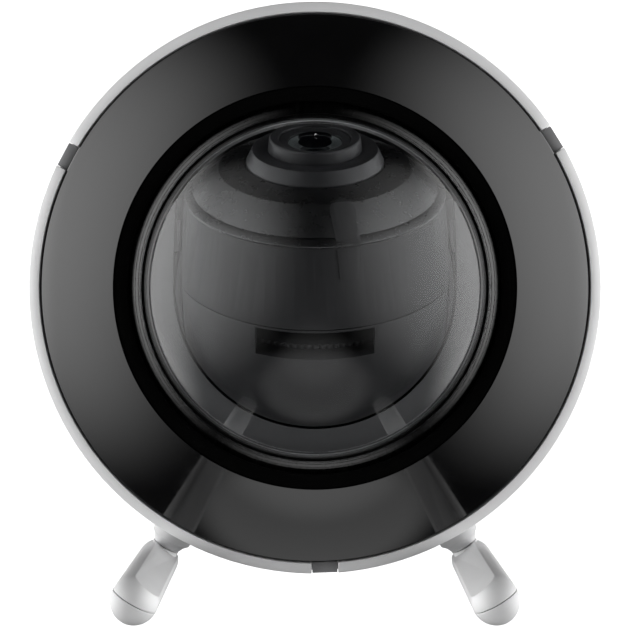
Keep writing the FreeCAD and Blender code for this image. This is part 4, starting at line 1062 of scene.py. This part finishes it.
@dataclass
class CameraHead:
    """The shells of the head and the tab over its rim.

    The corners of the cone at its front are (radius, height) about the optical axis.
    """

    soft: float = 0.3
    tab_soft: float = 0.15
    side_share: float = 0.55
    rim_foot: Point = (31.2, 26.2)
    rim_back: Point = (31.6, 26.5)
    rim_front: Point = (31.6, 26.9)
    groove_edge: Point = (29.9, 27.8)
    groove_back: Point = (29.2, 27.8)
    groove_front: Point = (29.2, 28.3)
    cone_foot: Point = (29.62, 28.08)
    cone_knee: Point = (23.2, 33.2)
    nose_front: Point = (17.0, 34.4)
    nose_back: Point = (17.0, 32.6)
    inner_knee: Point = (22.3, 31.4)
    inner_foot: Point = (27.6, 27.25)
    inner_back: Point = (27.6, 26.2)
    cone_soft: float = 0.12
    cone_soft_steps: int = 2
    steps: int = 256

    def build(self) -> None:
        """Builds the shells."""
        for node, name in (("head_rear_shell", "head_back"), ("head_middle_shell", "head_barrel")):
            soft_copy(node, name, Body.HEAD.value, HEAD_BLACK, self.soft)
        self.tab()
        self.front()

    def tab(self) -> None:
        """Rounds the tab over the rim, with its sides painted near black as the shadow in the gap round it,
        which draws its outline.
        """
        made = soft_copy("head_clip", "head_tab", Body.HEAD.value, HEAD_BLACK, self.tab_soft)
        across = Vector((1.0, 0.0, 0.0))
        # Painted shadow: the tab's steep sides get the near-black seal finish, which draws its outline.
        paint_faces(made, SEAL_AND_GAP_SHADE_BLACK, lambda face: abs(face.normal.dot(across)) > self.side_share)

    def front(self) -> None:
        """Turns the cone at the front of the head, with the groove behind its rim."""
        outline = [
            self.rim_foot,
            self.rim_back,
            self.rim_front,
            self.groove_edge,
            self.groove_back,
            self.groove_front,
            self.cone_foot,
            self.cone_knee,
            self.nose_front,
            self.nose_back,
            self.inner_knee,
            self.inner_foot,
            self.inner_back,
        ]
        cone = lathe(outline, self.steps, self.cone_soft, self.cone_soft_steps)
        tip_to_head(cone)
        finish_piece(cone, "head_cone", Body.HEAD.value, CONE_BLACK, ("head_front_shell",))


@dataclass
class LensGroup:
    """The snout, rings and glass of the lens, and the serrated ring behind it.

    Heights are along the optical axis, from the dome's centre.
    """

    bore: float = 8.7
    snout_bore: float = 12.6
    snout_outer: float = 16.5
    snout_back: float = 14.0
    snout_knee: float = 34.6
    nose_outer: float = 15.0
    nose_top: float = 37.65
    socket: float = 11.3
    socket_floor: float = 36.0
    ring_outer: float = 11.2
    ring_edge: Point = (10.9, 40.2)
    ring_crest: Point = (10.5, 40.6)
    glass_seat: float = 37.0
    cell_outer: float = 8.4
    cell_inner: float = 6.5
    cell_tops: tuple[float, float] = (39.8, 39.4)
    iris_outer: float = 6.4
    iris_inner: float = 3.8
    iris_tops: tuple[float, float] = (39.0, 38.0)
    soft: float = 0.12
    steps: int = 160

    def build(self) -> None:
        """Builds the rings and dresses the glass and what lies behind it."""
        self.turn("lens_snout", LENS_BLACK, self.snout())
        self.turn("lens_ring", LENS_BLACK, self.ring())
        self.turn("lens_cell", LENS_BLACK, self.washer(self.cell_inner, self.cell_outer, self.cell_tops))
        self.turn("iris_ring", LENS_GREY, self.washer(self.iris_inner, self.iris_outer, self.iris_tops))
        soft_copy("adjust_ring", "serrated_ring", Body.LENS.value, SHROUD_GREY, 0.0)
        dress(LENS_BLACK, "lens_carrier", "lens_barrel")
        dress(LENS_CLEAR, "front_glass")
        dress(LENS_COATED, "rear_glass")
        dress(SPRING, "roll_clip")
        dress(BOARD, "sensor_board")
        dress(CHIP, "sensor_chip")

    def turn(self, node: str, finish: Surface, outline: list[Point]) -> None:
        """Turns a ring about the optical axis.

        Args:
            node: the node that it replaces.
            finish: its finish.
            outline: its corners.
        """
        ring = lathe(outline, self.steps, self.soft)
        tip_to_head(ring)
        finish_piece(ring, f"{node}_turned", Body.LENS.value, finish, (node,))

    def snout(self) -> list[Point]:
        """Draws the snout, with the socket of the lens ring in its front.

        Returns:
            Its corners.
        """
        return [
            (self.snout_bore, self.snout_back),
            (self.snout_outer, self.snout_back),
            (self.snout_outer, self.snout_knee),
            (self.nose_outer, self.nose_top),
            (self.socket, self.nose_top),
            (self.socket, self.socket_floor),
            (self.bore, self.socket_floor),
            (self.bore, self.snout_knee),
            (self.snout_bore, self.snout_knee),
        ]

    def ring(self) -> list[Point]:
        """Draws the ring that stands in the snout's socket.

        Returns:
            Its corners.
        """
        return [
            (self.bore, self.socket_floor),
            (self.ring_outer, self.socket_floor),
            (self.ring_outer, self.nose_top),
            self.ring_edge,
            self.ring_crest,
            (self.bore, self.ring_edge[1]),
        ]

    def washer(self, inner: float, outer: float, tops: tuple[float, float]) -> list[Point]:
        """Draws a ring that stands on the glass's seat and slopes inwards.

        Args:
            inner: its inner radius.
            outer: its outer radius.
            tops: its heights at the outer and at the inner radius.

        Returns:
            Its corners.
        """
        outer_top, inner_top = tops
        return [(inner, self.glass_seat), (outer, self.glass_seat), (outer, outer_top), (inner, inner_top)]


@dataclass
class Antenna:
    """One antenna on its neck."""

    side: Side
    soft: float = 0.25

    def build(self) -> None:
        """Builds the two half shells and the neck and dresses the rest."""
        word = self.side.value
        for half in ("inner", "outer"):
            node = f"{word}_antenna_{half}_shell"
            soft_copy(node, f"{word}_{half}_half", f"{word}_antenna", ANTENNA_WHITE, self.soft)
        # The neck is dressed in the darker white, as painted shade under the trim ring.
        soft_copy(f"{word}_antenna_neck", f"{word}_neck", Body.HOUSING.value, NECK_PAINTED_SHADE_WHITE, self.soft)
        dress(SPRING, f"{word}_antenna_stem", f"{word}_antenna_clip")
        dress(BOARD, f"{word}_antenna_element")


@dataclass
class Electronics:
    """The main board and what it carries."""

    def build(self) -> None:
        """Dresses the board's pieces."""
        dress(BOARD, "main_board")
        dress(STEEL, "board_screws", "card_slot")
        dress(CHIP, "processor", "board_capacitors", "cable_header", "reset_switch")
        dress(SINK, "heatsink")
        dress(RED, "reset_button")


# Studio


@dataclass(frozen=True)
class Panel:
    """A round patch of light far away, with a soft edge. Edge and core are cosines of its angles."""

    direction: tuple[float, float, float]
    edge: float
    core: float
    strength: float


def both_sides(
    direction: tuple[float, float, float], edge: float, core: float, strength: float
) -> tuple[Panel, Panel]:
    """Makes a panel and its mirror image on the other side of the camera.

    Args:
        direction: where the panel on the right is.
        edge: the cosine of the angle where its light ends.
        core: the cosine of the angle where its light is full.
        strength: its light.

    Returns:
        The panel on the right and the one on the left.
    """
    x, y, z = direction
    return Panel(direction, edge, core, strength), Panel((-x, y, z), edge, core, strength)


@dataclass
class Studio:
    """Floor, soft light and the camera, which looks down the dome's axis.

    Panels light the object, and reflections are what its gloss mirrors. Distances are in metres and
    the sensor's width is in millimetres. The shift is a share of the picture's width.
    """

    camera_height: float = 0.356
    view_width: float = 0.1650
    view_distance: float = 0.300
    shift: float = -0.0435
    sensor_width: float = 36.0
    clip_start: float = 0.01
    floor_size: float = 8.0
    floor_colour: Colour = (0.85, 0.85, 0.86)
    floor_roughness: float = 0.9
    floor_glow: float = 0.85
    backdrop: Colour = (0.9, 0.9, 0.91)
    panels: tuple[Panel, ...] = (
        *both_sides((0.99, 0.02, 0.10), edge=0.55, core=0.98, strength=1.0),
        *both_sides((1.0, 0.02, 0.04), edge=0.80, core=0.98, strength=5.7),
        Panel((0.0, 0.0, 1.0), edge=0.30, core=1.0, strength=0.1),
        Panel((0.0, 0.0, -1.0), edge=-1.01, core=-1.0, strength=0.03),
    )
    reflections: tuple[Panel, ...] = (
        *both_sides((0.91, 0.21, 0.34), edge=0.45, core=1.22, strength=3.85),
        Panel((0.0, -0.92, 0.40), edge=0.84, core=0.94, strength=1.0),
        *both_sides((0.85, 0.05, -0.52), edge=0.72, core=0.95, strength=1.9),
        Panel((0.0, -0.70, 0.71), edge=0.91, core=1.0, strength=0.7),
        Panel((0.006, 0.907, -0.421), edge=0.99990, core=0.99998, strength=8.0),
    )

    def build(self) -> None:
        """Sets up the stage."""
        self.floor()
        self.sky()
        self.camera()
        view = bpy.context.scene.view_settings
        view.view_transform = "Standard"
        view.look = "None"

    def floor(self) -> None:
        """Lays a plain pale floor that mirrored and scattered rays don't see."""
        bm = bmesh.new()
        bmesh.ops.create_grid(bm, x_segments=1, y_segments=1, size=self.floor_size / 2)
        mesh = bpy.data.meshes.new("floor")
        bm.to_mesh(mesh)
        bm.free()
        floor = bpy.data.objects.new("floor", mesh)
        bpy.context.scene.collection.objects.link(floor)
        paper = bpy.data.materials.new("paper")
        paper.use_nodes = True
        wiring = Wiring(paper.node_tree)
        shader = wiring.add(
            "ShaderNodeBsdfPrincipled",
            Base_Color=(*self.floor_colour, 1.0),
            Roughness=self.floor_roughness,
            Emission_Color=(1.0, 1.0, 1.0, 1.0),
            Emission_Strength=self.floor_glow,
        )
        wiring.add("ShaderNodeOutputMaterial", Surface=shader.outputs[0])
        mesh.materials.append(paper)
        floor.visible_glossy = False
        floor.visible_diffuse = False

    def sky(self) -> None:
        """Sets up the panels, the reflections and the plain backdrop that the camera sees."""
        world = bpy.data.worlds.new("studio")
        bpy.context.scene.world = world
        world.use_nodes = True
        wiring = Wiring(world.node_tree)
        where = wiring.add("ShaderNodeTexCoord").outputs["Generated"]
        ray = wiring.add("ShaderNodeLightPath")
        lighting = self.glow(wiring, where, self.panels)
        mirrored = self.glow(wiring, where, self.reflections)
        backdrop = wiring.add("ShaderNodeBackground", Color=(*self.backdrop, 1), Strength=1.0)
        unseen = wiring.mix(ray.outputs["Is Glossy Ray"], lighting, mirrored)
        seen = wiring.mix(ray.outputs["Is Camera Ray"], unseen, backdrop.outputs[0])
        wiring.add("ShaderNodeOutputWorld", Surface=seen)

    def glow(
        self, wiring: Wiring, where: bpy.types.NodeSocket, panels: tuple[Panel, ...]
    ) -> bpy.types.NodeSocket:
        """Adds up the light of panels.

        Args:
            wiring: the world's nodes.
            where: the direction of the ray.
            panels: the panels.

        Returns:
            The background shader's output.
        """
        total = None
        for panel in panels:
            aimed = wiring.measure("DOT_PRODUCT", where, Vector(panel.direction).normalized())
            light = wiring.ramp(aimed, panel.edge, panel.core, 0.0, panel.strength)
            total = light if total is None else wiring.math("ADD", total, light)
        return wiring.add("ShaderNodeBackground", Color=(1, 1, 1, 1), Strength=total).outputs[0]

    def camera(self) -> None:
        """Places the camera on the dome's axis."""
        data = bpy.data.cameras.new("view")
        data.sensor_width = self.sensor_width
        data.lens = data.sensor_width * self.view_distance / self.view_width
        data.shift_y = self.shift
        data.clip_start = self.clip_start
        made = bpy.data.objects.new("view", data)
        made.location = (0.0, 0.0, self.camera_height)
        bpy.context.scene.collection.objects.link(made)
        bpy.context.scene.camera = made


def main() -> None:
    """Builds every sub-assembly, then the studio."""
    logging.basicConfig(level=logging.INFO, format="%(message)s")
    assemblies = [
        Housing(),
        FrontRings(),
        DomeWindow(),
        PanStage(),
        CameraHead(),
        LensGroup(),
        Antenna(Side.LEFT),
        Antenna(Side.RIGHT),
        Electronics(),
        Studio(),
    ]
    for assembly in assemblies:
        LOG.info("building %s", type(assembly).__name__)
        assembly.build()


if __name__ == "__main__":
    main()
